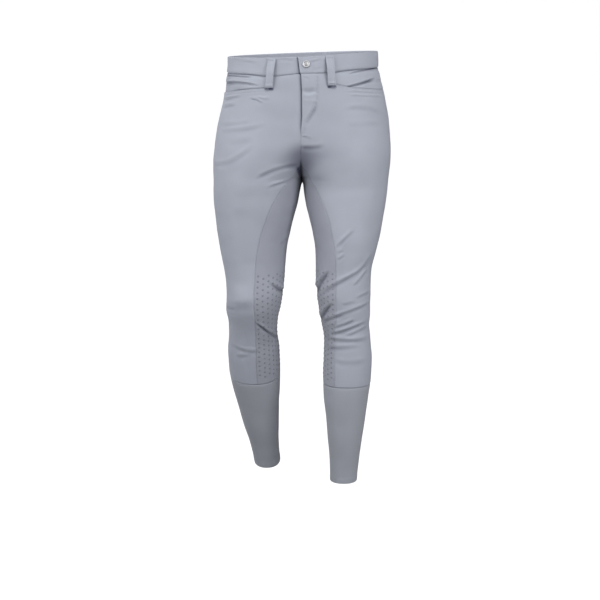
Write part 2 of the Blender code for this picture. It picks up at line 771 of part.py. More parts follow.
def make_material(name, colour, roughness, metallic):
    material = bpy.data.materials.new(name)
    material.use_nodes = True
    shader = material.node_tree.nodes["Principled BSDF"]
    shader.inputs["Base Color"].default_value = (*colour, 1)
    shader.inputs["Roughness"].default_value = roughness
    shader.inputs["Metallic"].default_value = metallic
    return material


def main():
    for obj in list(bpy.data.objects):
        bpy.data.objects.remove(obj)
    bpy.context.scene.collection.children.link(bpy.data.collections.new("riding_breeches"))
    cloth = make_material("grey stretch cloth", (0.38, 0.40, 0.45), 0.75, 0)
    grip = make_material("grey grip cloth", (0.31, 0.32, 0.37), 0.85, 0)
    cuff = make_material("grey calf knit", (0.34, 0.35, 0.40), 0.8, 0)
    metal = make_material("silvery metal", (0.72, 0.72, 0.74), 0.25, 1)
    for hand, side in SIDES.items():
        make_front("front_" + hand, side, cloth)
        make_back("back_" + hand, side, cloth)
        make_inner_leg("inner_leg_" + hand, side, grip)
        make_facing("pocket_facing_" + hand, side, cloth)
        make_waistband("waistband_" + hand, side, cloth)
        make_cuff("calf_cuff_" + hand, side, cuff)
    make_loops(cloth)
    make_button(metal)


main()
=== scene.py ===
"""Dresses a pair of men's riding breeches: fine cloth, stitching, grip dots, a button, a stage.

The solids give the places: the origin is the centre of the waistband's ring, +Z is up, the
front faces -Y and +X is the wearer's left. Every cloth piece is a patch of one hollow form, a
stack of rings round each side, with folds, seams and hems raised or sunk along its normals.
"""

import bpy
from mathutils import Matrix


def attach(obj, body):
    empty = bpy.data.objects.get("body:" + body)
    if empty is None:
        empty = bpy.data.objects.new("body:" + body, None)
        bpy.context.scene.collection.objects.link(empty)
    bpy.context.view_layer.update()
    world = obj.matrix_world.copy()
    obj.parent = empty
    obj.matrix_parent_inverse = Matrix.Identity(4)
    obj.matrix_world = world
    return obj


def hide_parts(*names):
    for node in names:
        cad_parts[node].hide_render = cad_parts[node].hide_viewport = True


bl_info = {
    "name": "Riding breeches",
    "version": (1, 0, 0),
    "blender": (4, 5, 0),
    "location": "3D View > Sidebar > Breeches",
    "description": "Men's riding breeches with grip panels, pockets, belt loops and stitching",
    "category": "Object",
}

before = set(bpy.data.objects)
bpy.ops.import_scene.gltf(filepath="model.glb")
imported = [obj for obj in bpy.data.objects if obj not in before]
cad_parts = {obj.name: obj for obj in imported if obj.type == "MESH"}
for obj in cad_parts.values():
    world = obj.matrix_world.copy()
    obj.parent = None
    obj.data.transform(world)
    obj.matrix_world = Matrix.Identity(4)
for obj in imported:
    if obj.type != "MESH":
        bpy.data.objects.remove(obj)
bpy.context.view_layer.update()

import math

import bmesh
import bpy
import numpy as np
from mathutils import Matrix, Vector

MM = 0.001

# Cloth and seams.
CLOTH = 1.6 * MM
CUFF_CLOTH = 1.3 * MM
BAND_CLOTH = 3.0 * MM
SEAM_GAP = 0.1 * MM
HALF_GAP = SEAM_GAP / 2
SEAM_DEPTH = 1.3 * MM
SEAM_WIDTH = 1.3 * MM
INNER_SEAM = 0.5
CENTRE_SEAM = 0.4
RIPPLE = 0.35 * MM
# The distance to an open edge that stands for having none.
NO_OPEN_EDGE = 1.0
# How deep a hollow or a shadow line must be to take the whole of its painted shade, and the tone of
# that painted shade.
PAINTED_SHADE_DEPTH = 7 * MM
PAINTED_SHADE_TONE = (0.10, 0.10, 0.19, 1)

# Levels that the pieces share: heights on the body's axis, from the waist.
PANEL_TOP = -16 * MM
POCKET_BLEND = -75 * MM
INNER_TOP = -203 * MM
INNER_BLEND = -265 * MM
CUFF_SEAM = -655 * MM
HEM = -865 * MM

# The rise: how the centre seam curves from front and back down to the fork.
ROUNDNESS = 2.2
FORK_TOUCH = -228 * MM
FRONT_RISE = 105 * MM
BACK_RISE = 125 * MM
FRONT_RISE_POWER = 2.4
BACK_RISE_POWER = 2.2
SADDLE = 3 * MM
SIDE_SEAM_BACK = 6 * MM

# Waistband, tab, fly and pockets.
BAND_LIFT = 1.0 * MM
TAB_LIFT = 1.3 * MM
TAB_SLANT = 4 * MM
TAB_LENGTH = 38 * MM
UNDERLAP = 30 * MM
UNDERLAP_DEPTH = 2.4 * MM
FLY_LIFT = 1.3 * MM
FLY_UNDER = 1.9 * MM
# Painted shadow beside the fly's lapped edge: its strength high and low, its width, and the level
# below which it keeps its lower strength.
FLY_SHADE = (0.35, 0.12)
FLY_SHADE_WIDTH = 2.4 * MM
FLY_SHADE_LOW = -128 * MM
FLY_GROOVE = (1.2 * MM, 2.8 * MM)
FLY_TUCK = 4 * MM
FLY_CLOSED = -146 * MM
FLY_END = -142 * MM
FLY_EDGE = (
    # level, across
    (-16, 2.2), (-50, 4), (-100, 4.2), (-137, 1.6), (-170, 0.5), (-195, 0), (-203, 0),
)
FACING_DEPTH = 3.2 * MM
FACING_TOP = 1.4 * MM
FACING_TUCK = 12 * MM
FACING_PUFF = 2.3 * MM
SEAM_TUCK = 5 * MM
MOUTH_STEP = (57 * MM, 68 * MM)
MOUTH_HEM = 8 * MM
# What differs from pocket to pocket: 1 is the wearer's left, -1 the right. The side light is painted
# light, which lifts the facing's painted shade near the side seam.
SIDE_PUFF = {1: 0.0, -1: 0.7}
SIDE_LIGHT = {1: 0.0, -1: 1.3 * MM}
MOUTH_LIFT = {1: -0.2 * MM, -1: 0.6 * MM}
MOUTH_DEPTH = {1: 1.9 * MM, -1: 2.6 * MM}
MOUTH_FADE = {1: 0.0, -1: 1.2 * MM}
MOUTH_SLOPE = {1: 0.05, -1: 0.13}
MOUTH_CLOTH = {1: 0.0, -1: 0.7 * MM}
# Where a facing changes on its way out to the side seam: from where, and over how much; for the
# painted light, also from how far down the facing it starts and over how much.
PUFF_CHANGE = (130 * MM, 18 * MM)
MOUTH_CHANGE = (124 * MM, 26 * MM)
LIGHT_CHANGE = (124 * MM, 16 * MM)
LIGHT_DOWN = (0.62, 0.12)

# The soft hollow above the fork, which also takes painted shade, and the cleft between the thighs at
# its foot, sunk in and darkened by a painted shadow line.
HOLLOW_TOP = -146 * MM
HOLLOW_END = -236 * MM
FORK_HOLLOW = 3.4 * MM
FORK_SHADE = 0.5 * MM
HOLLOW_WIDTHS = (
    # level, towards the wearer's right, towards the left
    (-150, 18, 45), (-180, 28, 45), (-195, 34, 34), (-210, 14, 22), (-230, 9, 14),
)
CLEFT_TOP = -186 * MM
CLEFT_DEPTH = 8 * MM
CLEFT_WIDTH = 3.2 * MM
CLEFT_SHADE = 2.2 * MM
CLEFT_SHADE_TOP = -202 * MM
CLEFT_LEAN = ((206 * MM, 240 * MM), (-5 * MM, 0))

# Belt loops.
LOOP_WIDTH = 16 * MM
LOOP_CLOTH = 1.8 * MM
LOOP_FOLD = 3.4 * MM
LOOP_FOLD_LENGTH = 6 * MM
LOOP_ARCH = 4.0 * MM
LOOP_FOOT = 1.1 * MM
# The painted shadow below each front loop's foot: its strength, how far below the foot it lies, and
# its width.
LOOP_SHADE = 2.0
LOOP_SHADE_DROP = 2.4 * MM
LOOP_SHADE_WIDTH = 2.2 * MM
FRONT_LOOPS = (
    # name, distance from the centre front at the top and at the foot, top level, foot level
    ("left", 57.5, 62.5, 18, -38.5),
    ("right", -55, -61.5, 13, -43.5),
)
BACK_LOOP_SPACING = 88 * MM
BACK_LOOP_ENDS = (16 * MM, -48 * MM)

# Waist button.
BUTTON_ACROSS = 12 * MM
BUTTON_LEVEL = 3 * MM
BUTTON_RADIUS = 7.5 * MM
BUTTON_PROFILE = (
    # radius, height above the tab, as shares of the button's radius
    (0.00, 0.40), (0.30, 0.395), (0.44, 0.38), (0.50, 0.34), (0.56, 0.31), (0.62, 0.34),
    (0.68, 0.385), (0.76, 0.395), (0.86, 0.37), (0.94, 0.30), (0.99, 0.20), (0.98, 0.11),
    (0.90, 0.05), (0.60, 0.04), (0.00, 0.04),
)

# Sections of the leg that strides forward, the wearer's left (mm and degrees).
LEFT_SECTIONS = (
    # level, centre, outer, gap, depth, tilt
    (30, 0, 150.5, 0, 0, 0),
    (0, 0, 153, 0, 0, 0),
    (-25, 5, 152.5, 0, 0, 0),
    (-50, 12, 152.5, 0, 2, 0),
    (-80, 24, 147, 0, 5, 0),
    (-110, 38, 138.5, 0, 8, 0),
    (-140, 52, 127.5, 0, 8, 0),
    (-170, 66, 115.5, 0, 7, 0),
    (-200, 78, 103, 0, 6, 0),
    (-225, 86, 92.5, 0, 5, 0),
    (-243, 88, 88.6, 3, 4, 0),
    (-260, 89, 86, 4.3, 0, 0),
    (-285, 90, 82, 8.2, -5, 0),
    (-310, 91, 76.5, 14.5, -11, 0),
    (-345, 92.3, 69.6, 22.7, -20, 0),
    (-380, 90.8, 62.2, 28.6, -29, 0),
    (-415, 86.8, 57.5, 29.3, -37, 0),
    (-440, 86.5, 56.2, 30.3, -42, 0),
    (-465, 87.2, 55.5, 31.7, -45, 0),
    (-490, 88.8, 53.3, 35.5, -46, 0),
    (-515, 90.2, 51.5, 38.7, -47, 0),
    (-530, 91.3, 48.5, 42.8, -47, 0),
    (-560, 95.3, 48, 47.3, -47, 0),
    (-600, 96.5, 50, 46.5, -48, 0),
    (-640, 95.3, 50, 45.3, -48, 0),
    (-685, 93.3, 46.3, 47, -49, 0),
    (-727, 93, 41.2, 51.8, -49, 0),
    (-771, 91.7, 36.3, 55.4, -50, 0),
    (-815, 90.8, 31.5, 59.3, -50, 0),
    (-870, 89, 27.5, 61.5, -50, 0),
)
# Sections of the trailing leg, the wearer's right, whose shank slopes back.
RIGHT_SECTIONS = (
    # level, centre, outer, gap, depth, tilt
    (30, 0, 149.5, 0, 0, 0),
    (0, 0, 150.5, 0, 0, 0),
    (-25, 5, 150.5, 0, 0, 0),
    (-50, 12, 146, 0, 2, 0),
    (-80, 24, 139.5, 0, 5, 0),
    (-110, 38, 133.5, 0, 8, 0),
    (-140, 52, 125.5, 0, 8, 0),
    (-170, 66, 115, 0, 7, 0),
    (-200, 79, 105.5, 0, 6, 0),
    (-225, 88, 96, 0, 5, 0),
    (-243, 92.4, 91.4, 3, 4, 0),
    (-260, 95, 89.3, 5.9, 4, 0),
    (-285, 96.7, 87, 10.3, 3.5, 0),
    (-310, 98.5, 82, 16.8, 3, 0),
    (-345, 101.2, 75.7, 25.5, 0, 0),
    (-380, 101.6, 69.2, 32.4, -5, 0),
    (-415, 99.5, 64, 35.5, -11, 1),
    (-440, 98, 61, 37, -16, 3),
    (-465, 98.2, 58.7, 39.5, -20, 6),
    (-490, 100.5, 57.2, 43.3, -18.5, 9),
    (-505, 103, 56.6, 46.4, -14, 11),
    (-525, 103.2, 52.2, 51, -8, 13),
    (-560, 104.3, 50.5, 53.8, 2, 15),
    (-600, 104, 54.5, 49.5, 12, 15),
    (-640, 103.1, 54.2, 48.9, 23, 15),
    (-685, 100.1, 50.2, 49.9, 35, 15),
    (-727, 96.5, 43.8, 52.7, 46, 15),
    (-771, 92, 38.3, 53.7, 57, 15),
    (-815, 86.5, 31.5, 55, 69, 15),
    (-870, 80, 27.5, 52.5, 83, 15),
)
# How far each section reaches forward and back from its centre, on both legs.
DEPTHS = (
    # level, front, back
    (30, 112, 112), (0, 112, 112), (-25, 114, 114), (-50, 115, 118), (-80, 117, 125),
    (-110, 118, 131), (-140, 117, 133), (-170, 115, 129), (-200, 111, 118), (-225, 107, 105),
    (-240, 105, 99), (-260, 102, 96), (-285, 99, 94), (-310, 95, 92), (-345, 88, 86),
    (-380, 79, 78), (-415, 70, 70), (-440, 66, 66), (-465, 65, 62), (-490, 62, 60),
    (-515, 58, 60), (-545, 54, 60), (-577, 53, 63), (-600, 53, 66), (-640, 53, 67),
    (-685, 50, 62), (-727, 46, 54), (-771, 42, 46), (-815, 37, 39), (-870, 33, 35),
)
# The waistband's edges across the front; at the back they run straight from side to side.
BAND_EDGES = (
    # across, top, bottom
    (150, 25.5, -6.5), (100, 23, -9), (50, 19.5, -14.5), (0, 16.5, -16),
    (-60, 15, -21), (-110, 14.5, -17.5), (-150, 14.5, -17),
)
# Pocket mouths, from the side seam in to the belt loop.
LEFT_MOUTH = (
    # across, level
    (160, -51), (128, -47), (102, -44), (88, -41), (73, -37), (50, -34),
)
RIGHT_MOUTH = (
    # across, level
    (160, -59.5), (121, -51), (104, -48.5), (76, -45.5), (50, -44),
)
# Seams of the inner leg panels, as distances from the centre plane.
LEFT_INNER_SEAMS = (
    # level, front, back
    (-203, 0, 0), (-216, 12, 12), (-230, 20, 25), (-249, 32, 38), (-266, 41, 48),
    (-288, 50.5, 58), (-307, 57.5, 65), (-331, 62.5, 71), (-357, 68, 75), (-377, 71, 76),
    (-418, 72, 77), (-490, 73, 78), (-533, 71, 82), (-570, 69, 86), (-655, 70, 88),
)
RIGHT_INNER_SEAMS = (
    # level, front, back
    (-203, 0, 0), (-214, 9, 10), (-227, 21, 23), (-238, 30, 33), (-251, 40.5, 44),
    (-275, 55, 61), (-300, 66.5, 72), (-326, 76, 80), (-357, 85.5, 88), (-388, 91, 92),
    (-424, 94, 95), (-474, 96, 97), (-519, 95, 99), (-655, 95, 99),
)
# The folds, as seen from the front (or through the part, on the back). The cloth falls along
# each from a soft crest on the left of its run to a trough on the right.
FOLDS = (
    # face, x start, z start, x end, z end, bow, depth, width, ridge
    # Knee of the leading leg.
    ("front", 73, -361, 108, -324, 0, 1.5, 3.3, 2.0),
    ("front", 74, -373, 86, -366, 0, 0.8, 2.8, 1.0),
    ("front", 74, -386, 90, -376, 0, 0.9, 3.0, 1.0),
    ("front", 22, -478, 55, -410, 2.5, 4.6, 3.8, 3.0),
    ("front", 40, -460, 119, -410, 3, 2.2, 4.5, 2.0),
    ("front", 102, -421, 145, -376, -4, 1.3, 4.2, 1.6),
    ("front", 107, -439, 136, -410, -1, 1.3, 3.3, 1.5),
    ("front", 112, -465, 142, -457, 0, 1.1, 3.4, 1.1),
    ("front", 84, -479, 110, -471, 0, 0.8, 3.5, 0.7),
    ("front", 66, -505, 143, -480, 3, 1.7, 3.9, 2.0),
    ("front", 31, -528, 63, -474, 1, 3.8, 3.7, 1.5),
    ("front", 42, -521, 86, -498, 2, 2.0, 4.0, 1.3),
    ("front", 70, -529, 111, -510, 1, 1.9, 3.6, 1.6),
    ("front", 60, -543, 138, -518, 2, 2.2, 3.9, 2.2),
    ("front", 92, -544, 137, -527, -1, 1.5, 3.6, 1.3),
    ("front", 46, -553, 143, -551, -2, 1.3, 5, 1.6),
    ("front", 50, -574, 124, -566, 2, 1.1, 5, 1.0),
    ("front", 66, -596, 138, -600, -2, 0.8, 6, 0.7),
    # Knee of the trailing leg.
    ("front", -62, -440, -24, -478, 0, 3.6, 2.7, 2.6),
    ("front", -95, -523, -41, -580, 1.5, 3.6, 2.7, 2.8),
    ("front", -45, -362, -29, -352, 0, 0.9, 3.4, 0.7),
    ("front", -162, -490, -92, -486, 0, 1.2, 11, 1.3),
    ("front", -160, -500, -138, -494, 0, 0.9, 4, 0.6),
    ("front", -150, -580, -84, -590, -4, 1.2, 5, 1.0),
    ("front", -140, -604, -100, -600, 1, 0.8, 5, 0.6),
    # Fork and thighs.
    ("front", -90, -222, -4, -197, 4.5, 2.4, 4.4, 1.0),
    ("front", -66, -243, -18, -227, 0.5, 1.5, 3.4, 1.6),
    ("front", -2, -161, 46, -157, 0, 2.0, 4.5, 1.2),
    ("front", -186, -200, -95, -159, -9, 1.0, 5.0, 1.0),
    ("front", -166, -132, -68, -115, -3, 0.8, 4.6, 0.8),
    ("front", -168, -120, -100, -110, -1, 0.7, 4, 0.6),
    ("front", -150, -156, -96, -146, 3, 0.6, 6, 0.5),
    # Below the pocket mouths.
    ("front", -162, -85, -130, -79, 1, 1.5, 3.0, 1.2),
    ("front", -99, -65, -75, -73, 1, 1.4, 2.6, 0.8),
    ("front", -86, -64, -60, -66, 0, 0.4, 2.8, 1.1),
    ("front", -160, -71, -120, -62, 1, 1.0, 3.0, 1.0),
    ("front", 98, -58, 166, -64, 0, 0.6, 2.6, 0.6),
    ("front", 84, -50, 166, -57, 0, 0.5, 2.2, 0.5),
    ("front", 84, -88, 166, -97, 11, 0.9, 5, 0.9),
    ("front", 88, -113, 160, -115, 0, 0.5, 5, 0.5),
    # Puckers of the fly.
    ("front", 36, -52, 2, -55, 0, 2.5, 5.0, 1.2),
    ("front", 34, -62, 4, -66, 0, 0.0, 6, 1.2),
    ("front", 6, -115, 32, -76, 0, 1.6, 4.2, 0.9),
    ("front", 2, -136, 24, -144, 0, 0.7, 2.4, 0.8),
    ("front", 4, -20, 20, -26, 0, 0.7, 2.0, 0.7),
    ("front", 6, -30, 16, -19, 0, 0.6, 2.0, 0.5),
    # Back of the knees, the seat and under it.
    ("back", 44, -452, 132, -440, -6, 3.6, 8, 1.6),
    ("back", 46, -482, 128, -474, 5, 2.8, 7, 1.2),
    ("back", 58, -430, 104, -421, 3, 1.6, 6, 1.0),
    ("back", 62, -505, 116, -510, -3, 1.4, 7, 0.9),
    ("back", -52, -470, -146, -462, 6, 4.0, 8, 1.4),
    ("back", -56, -500, -142, -498, -6, 3.0, 8, 1.2),
    ("back", -70, -442, -124, -450, 3, 1.8, 6, 1.1),
    ("back", -66, -524, -118, -516, 3, 1.4, 7, 0.9),
    ("back", 24, -246, 150, -206, 14, 3.2, 11, 1.4),
    ("back", -26, -248, -156, -214, -14, 3.4, 11, 1.4),
    ("back", 30, -266, 104, -238, 6, 1.7, 8, 1.1),
    ("back", -34, -268, -112, -244, -6, 1.8, 8, 1.1),
    ("back", 14, -196, 66, -174, 4, 1.2, 8, 0.8),
    ("back", -12, -190, -60, -176, -4, 1.1, 8, 0.8),
    ("back", 88, -66, 150, -52, 3, 0.9, 7, 0.6),
    ("back", -90, -64, -148, -56, -3, 0.8, 7, 0.6),
)
FACING_FOLDS = (
    # face, x start, z start, x end, z end, bow, depth, width, ridge
    ("front", -164, -38, -82, -39, 4, 3.0, 2.7, 1.7),
    ("front", 84, -44.5, 150, -25.5, 0, 5.6, 2.5, 1.5),
    ("front", 128, -30, 170, -35, 2, 1.0, 3.0, 0.5),
    ("front", -168, -20.5, -92, -23.5, 0, 3.0, 1.5, 1.0),
    ("front", 86, -19, 176, -2, 2, 3.2, 1.5, 1.5),
    ("front", -150, -30, -88, -31, 1, -0.6, 2.6, 0.2),
)
BAND_FOLDS = (
    # face, x start, z start, x end, z end, bow, depth, width, ridge
    ("front", 17, 7, 42, 15, -2, 0.8, 2.2, 0.7),
    ("front", 1, 11, 9, 8, 0, 0.5, 1.8, 0.4),
    ("front", 22, -8, 46, -4, 1, 0.5, 3, 0.4),
    ("front", -50, 11, -8, 10, 1, 0.6, 2.6, 0.5),
    ("front", -140, 8, -84, 5, 2, 0.6, 3.4, 0.5),
)

# Stitching.
STITCH_LENGTH = 2.5 * MM
STITCH_PITCH = 3.4 * MM
STITCH_WIDTH = 0.5 * MM
STITCH_HEIGHT = 0.34 * MM
# How far each line of stitching lies from its edge or seam.
MOUTH_LINES = (2 * MM, 6.5 * MM)
BAND_LINES = (2.5 * MM, 3 * MM)
CUFF_LINES = (3 * MM, 10 * MM)
LOOP_LINE = 3 * MM
INNER_LINE = 2.2 * MM
BACK_LINE = 2.5 * MM
# A bartack is a short dense bar of slanted thread.
BARTACK = {"pitch": 0.62 * MM, "slant": 1.2, "length": 2.2 * MM}
# The fly's curved line.
FLY_LINE = (
    # level, across
    (-19, 33.5), (-49, 33), (-75, 31), (-89, 25.5), (-105, 17), (-121, 10), (-137, 5),
)
# Grip dots.
GRIP_TOP = {"left": -416 * MM, "right": -424 * MM}
GRIP_END = -640 * MM
GRIP_COLUMNS = 20

# Grid lines across each piece, and the ring table behind them.
EDGE_LINES = np.array((0, 0.14, 0.4, 0.8, 1.3, 2.0, 3.0, 4.4)) * MM
RING_STEP = 1 * MM
RING_POINTS = 360
QUARTER_POINTS = 110
SOFTEN = 5

# The stage.
FLOOR_LEVEL = -1.02
FLOOR_RADIUS = 6.0
SWEEP_RADIUS = 3.0
CAMERA_PLACE = (0.12586, -2.99736, 0.093)
CAMERA_TURN = (79.0, 0.0, 2.5)
CAMERA_LENS = 87.3
FLOOR_BOUNCE = 0.2
AIR_STRENGTH = 0.1
LIGHT_AIM = (0, 0, -0.25)
LAMP_SIZE = 1.0
LAMPS = (
    # name, watts, place
    ("left lamp", 19.5, (-1.4, -1.5, 0.3)),
    ("right lamp", 22.5, (1.4, -1.5, 0.3)),
    ("side lamp", 12.0, (-1.6, -0.3, 0.5)),
    ("top lamp", 18.0, (0.2, -1.2, 2.1)),
)
SUNS = (
    # name, strength, spread, place
    ("rear", 1.0, 50, (-0.3, 1.0, 0.9)),
    ("right", 0.9, 50, (1.0, -0.5, 0.5)),
)


def table(names, rows):
    """A table's columns by name, in metres (a tilt stays in degrees)."""
    columns = dict(zip(names.split(), np.array(rows, float).T))
    return {name: values if name == "tilt" else values * MM for name, values in columns.items()}


def smooth(places, values, at):
    """A curve through a column that never swings past its rows; places fall from row to row."""
    x, y = places[::-1], values[::-1]
    step = np.diff(x)
    slope = np.diff(y) / step
    steady = slope[1:] * slope[:-1] > 0
    before, after = slope[:-1][steady], slope[1:][steady]
    near, far = (2 * step[1:] + step[:-1])[steady], (step[1:] + 2 * step[:-1])[steady]
    tangent = np.zeros_like(y)
    tangent[1:-1][steady] = (near + far) / (near / before + far / after)
    tangent[0], tangent[-1] = slope[0], slope[-1]
    i = np.clip(np.searchsorted(x, at) - 1, 0, len(step) - 1)
    t = np.clip((at - x[i]) / step[i], 0, 1)
    start = y[i] * (1 + 2 * t) + tangent[i] * step[i] * t
    end = y[i + 1] * (3 - 2 * t) + tangent[i + 1] * step[i] * (t - 1)
    return start * (1 - t) ** 2 + end * t**2


def ease(t):
    """0 to 1 with soft ends."""
    t = np.clip(t, 0, 1)
    return t * t * (3 - 2 * t)


def softened(values):
    """A column of ring sizes with the bends between its rows smoothed away."""
    reach = 3 * SOFTEN
    weights = np.exp(-0.5 * (np.arange(-reach, reach + 1) / SOFTEN) ** 2)
    padded = np.pad(values, reach, "reflect", reflect_type="odd")
    return np.convolve(padded, weights / weights.sum(), "valid")


def rise(level, height, power):
    """How far forward or back of the fork the centre seam lies at a level, from 0 to 1."""
    left_to_go = 1 - np.clip((level - FORK_TOUCH) / height, 0, 1)
    return (1 - left_to_go**power) ** (1 / power)


def ring_outline(cut):
    """One side's outline at a level, from the centre front (or inseam) round to the back."""
    bend = 2 / ROUNDNESS
    share = np.linspace(0, 1, QUARTER_POINTS)
    closed = cut["level"] < FORK_TOUCH
    reach = cut["centre"] - (cut["gap"] if closed else 0)

    def inner_quarter(height, power, depth):
        turn = max(math.acos(rise(cut["level"], height, power) ** (1 / bend)), MM)
        across = cut["centre"] - reach * (np.sin(share * turn) / math.sin(turn)) ** bend
        return across, depth * np.cos(share * turn) ** bend

    front_x, front_y = inner_quarter(FRONT_RISE, FRONT_RISE_POWER, cut["front"])
    back_x, back_y = inner_quarter(BACK_RISE, BACK_RISE_POWER, cut["back"])
    quarter = share * math.pi / 2
    outer_x = cut["centre"] + cut["outer"] * np.sin(quarter) ** bend
    outer_y = np.maximum(np.cos(quarter), 0) ** bend
    x = np.concatenate([front_x[::-1], outer_x[1:], outer_x[-2::-1], back_x[1:]])
    y = np.concatenate(
        [-front_y[::-1], -cut["front"] * outer_y[1:], cut["back"] * outer_y[-2::-1], back_y[1:]]
    )
    return x, y + cut["depth"]


def rounded_at_centre(x, y):
    """The outline cut where it nears the other side, and rounded so that the two flow together."""
    inside = np.flatnonzero(x >= SADDLE)
    first, last = inside[0], inside[-1]
    ends = []
    for here, there in ((first, first - 1), (last, last + 1)):
        if 0 <= there < len(x):
            t = (SADDLE - x[there]) / (x[here] - x[there])
            ends.append(y[there] + t * (y[here] - y[there]))
        else:
            ends.append(None)
    x, y = x[first : last + 1], y[first : last + 1]
    if ends[0] is not None:
        x, y = np.r_[SADDLE, x], np.r_[ends[0], y]
    if ends[1] is not None:
        x, y = np.r_[x, SADDLE], np.r_[y, ends[1]]
    return np.sqrt(np.maximum(x**2 - SADDLE**2, 0)), y


class Side:
    """One side of the garment: rings of evenly spaced points at every level, and their normals."""

    def __init__(self, sign, sections, inner_seams, mouth):
        self.sign = sign
        self.mouth = table("across level", mouth)
        shape = table("level centre outer gap depth tilt", sections)
        depths = table("level front back", DEPTHS)
        self.levels = np.arange(shape["level"][0] - RING_STEP / 2, shape["level"][-1], -RING_STEP)
        cuts = {"level": self.levels}
        for source in (shape, depths):
            for name in sorted(source.keys() - {"level"}):
                column = smooth(source["level"], source[name], self.levels)
                cuts[name] = column if name == "gap" else softened(column)
        self.depth = cuts["depth"]
        self.shares = np.linspace(0, 1, RING_POINTS + 1)
        rings = []
        self.lengths = np.zeros(len(self.levels))
        for i in range(len(self.levels)):
            cut = {name: values[i] for name, values in cuts.items()}
            x, y = rounded_at_centre(*ring_outline(cut))
            run = np.r_[0, np.cumsum(np.hypot(np.diff(x), np.diff(y)))]
            self.lengths[i] = run[-1]
            x = np.interp(self.shares * run[-1], run, x)
            y = np.interp(self.shares * run[-1], run, y)
            slope = math.tan(math.radians(cut["tilt"]))
            rings.append(np.stack([x, y, cut["level"] + (y - cut["depth"]) * slope], 1))
        self.points = np.array(rings)
        normals = np.cross(np.gradient(self.points, axis=0), np.gradient(self.points, axis=1))
        self.normals = normals / np.linalg.norm(normals, axis=2, keepdims=True)
        seams = table("level front back", inner_seams)
        self.seams = {"side": self.shares_where(1, self.depth + SIDE_SEAM_BACK, "side")}
        for part, above in (("front", 0), ("back", 1)):
            out = smooth(seams["level"], seams[part], self.levels)
            share = self.shares_where(0, out, part)
            self.seams[part] = np.where(self.levels < INNER_TOP, share, above)

    def shares_where(self, axis, values, part):
        """At each level, the share where the ring reaches a distance out (axis 0) or a depth (1)."""
        found = []
        for ring, value in zip(self.points, np.broadcast_to(values, len(self.points))):
            foremost, widest, rearmost = ring[:, 1].argmin(), ring[:, 0].argmax(), ring[:, 1].argmax()
            parts = {"front": (0, widest), "side": (foremost, rearmost), "back": (widest, RING_POINTS)}
            low, high = parts[part]
            places, shares = ring[low : high + 1, axis], self.shares[low : high + 1]
            if part == "back":
                places, shares = places[::-1], shares[::-1]
            found.append(np.interp(value, places, shares))
        return np.array(found)

    def length(self, level):
        return np.interp(-level, -self.levels, self.lengths)

    def seam(self, name, level):
        """The run from the centre front (or inseam) to a seam at a level."""
        return np.interp(-level, -self.levels, self.seams[name]) * self.length(level)

    def at(self, level, share):
        """Points and outward normals at levels and shares of the way round, front to back."""
        row = np.clip((self.levels[0] - level) / RING_STEP, 0, len(self.levels) - 1.001)
        column = np.clip(share, 0, 1) * (RING_POINTS - 1e-6)
        i, j = row.astype(int), column.astype(int)
        s, t = (row - i)[..., None], (column - j)[..., None]
        found = []
        for grid in (self.points, self.normals):
            upper = grid[i, j] * (1 - t) + grid[i, j + 1] * t
            lower = grid[i + 1, j] * (1 - t) + grid[i + 1, j + 1] * t
            found.append((upper * (1 - s) + lower * s) * (self.sign, 1, 1))
        return found

    def band_edge(self, edge, share):
        """The level of the waistband's top or bottom edge at a share of the way round."""
        edges = table("across top bottom", BAND_EDGES)
        place = self.at(np.full(np.shape(share), PANEL_TOP), share)[0]
        across = place[..., 0]
        front = smooth(edges["across"], edges[edge], across)
        high, low = edges[edge][0], edges[edge][-1]
        back = (high + low) / 2 + (high - low) / 2 * across / edges["across"][0]
        return front + (back - front) * ease(place[..., 1] / (30 * MM) + 0.5)

    def mouth_level(self, share):
        place = self.at(np.full(np.shape(share), PANEL_TOP), share)[0]
        return smooth(self.mouth["across"], self.mouth["level"], np.abs(place[..., 0]))


LEFT = Side(1, LEFT_SECTIONS, LEFT_INNER_SEAMS, LEFT_MOUTH)
RIGHT = Side(-1, RIGHT_SECTIONS, RIGHT_INNER_SEAMS, RIGHT_MOUTH)
SIDES = {"left": LEFT, "right": RIGHT}


def from_front(run, level):
    """Points at signed distances round from the centre front: the wearer's left is positive."""
    left = LEFT.at(level, np.clip(run / LEFT.length(level), 0, 1))
    right = RIGHT.at(level, np.clip(-run / RIGHT.length(level), 0, 1))
    return [np.where((run >= 0)[..., None], a, b) for a, b in zip(left, right)]


def from_back(run, level):
    """Points at signed distances round from the centre back: the wearer's left is positive."""
    left = LEFT.at(level, 1 - np.clip(run / LEFT.length(level), 0, 1))
    right = RIGHT.at(level, 1 - np.clip(-run / RIGHT.length(level), 0, 1))
    return [np.where((run >= 0)[..., None], a, b) for a, b in zip(left, right)]


def fold_height(folds, side, level, points):
    """How far the folds push points out (ridges) or in (troughs)."""
    depth = np.interp(-level, -side.levels, side.depth)
    front = ease(0.5 - (points[..., 1] - depth) / (40 * MM))
    height = np.zeros(points.shape[:-1])
    for number, (face, *sizes) in enumerate(folds):
        x0, z0, x1, z1, bow, deep, width, ridge = np.array(sizes) * MM
        run = np.array([x1 - x0, z1 - z0])
        length = np.hypot(*run)
        run /= length
        from_start = points[..., [0, 2]] - (x0, z0)
        along = (from_start @ run) / length
        inside = np.clip(along, 0, 1)
        sway = 0.2 * width * np.sin(5.1 * inside + 1.7 * number)
        aside = from_start @ np.array([-run[1], run[0]]) - bow * 4 * inside * (1 - inside) - sway
        fade = ease(np.minimum(along, 1 - along) * 3.2 + 0.15)
        fade = fade * (0.86 + 0.14 * np.sin(7.3 * inside + 2.3 * number))
        trough = deep * np.exp(-((aside / width + 0.7) ** 2))
        crest = ridge * np.exp(-(((aside / width - 0.75) / 0.85) ** 2))
        height += (crest - trough) * fade * (front if face == "front" else 1 - front)
    return height


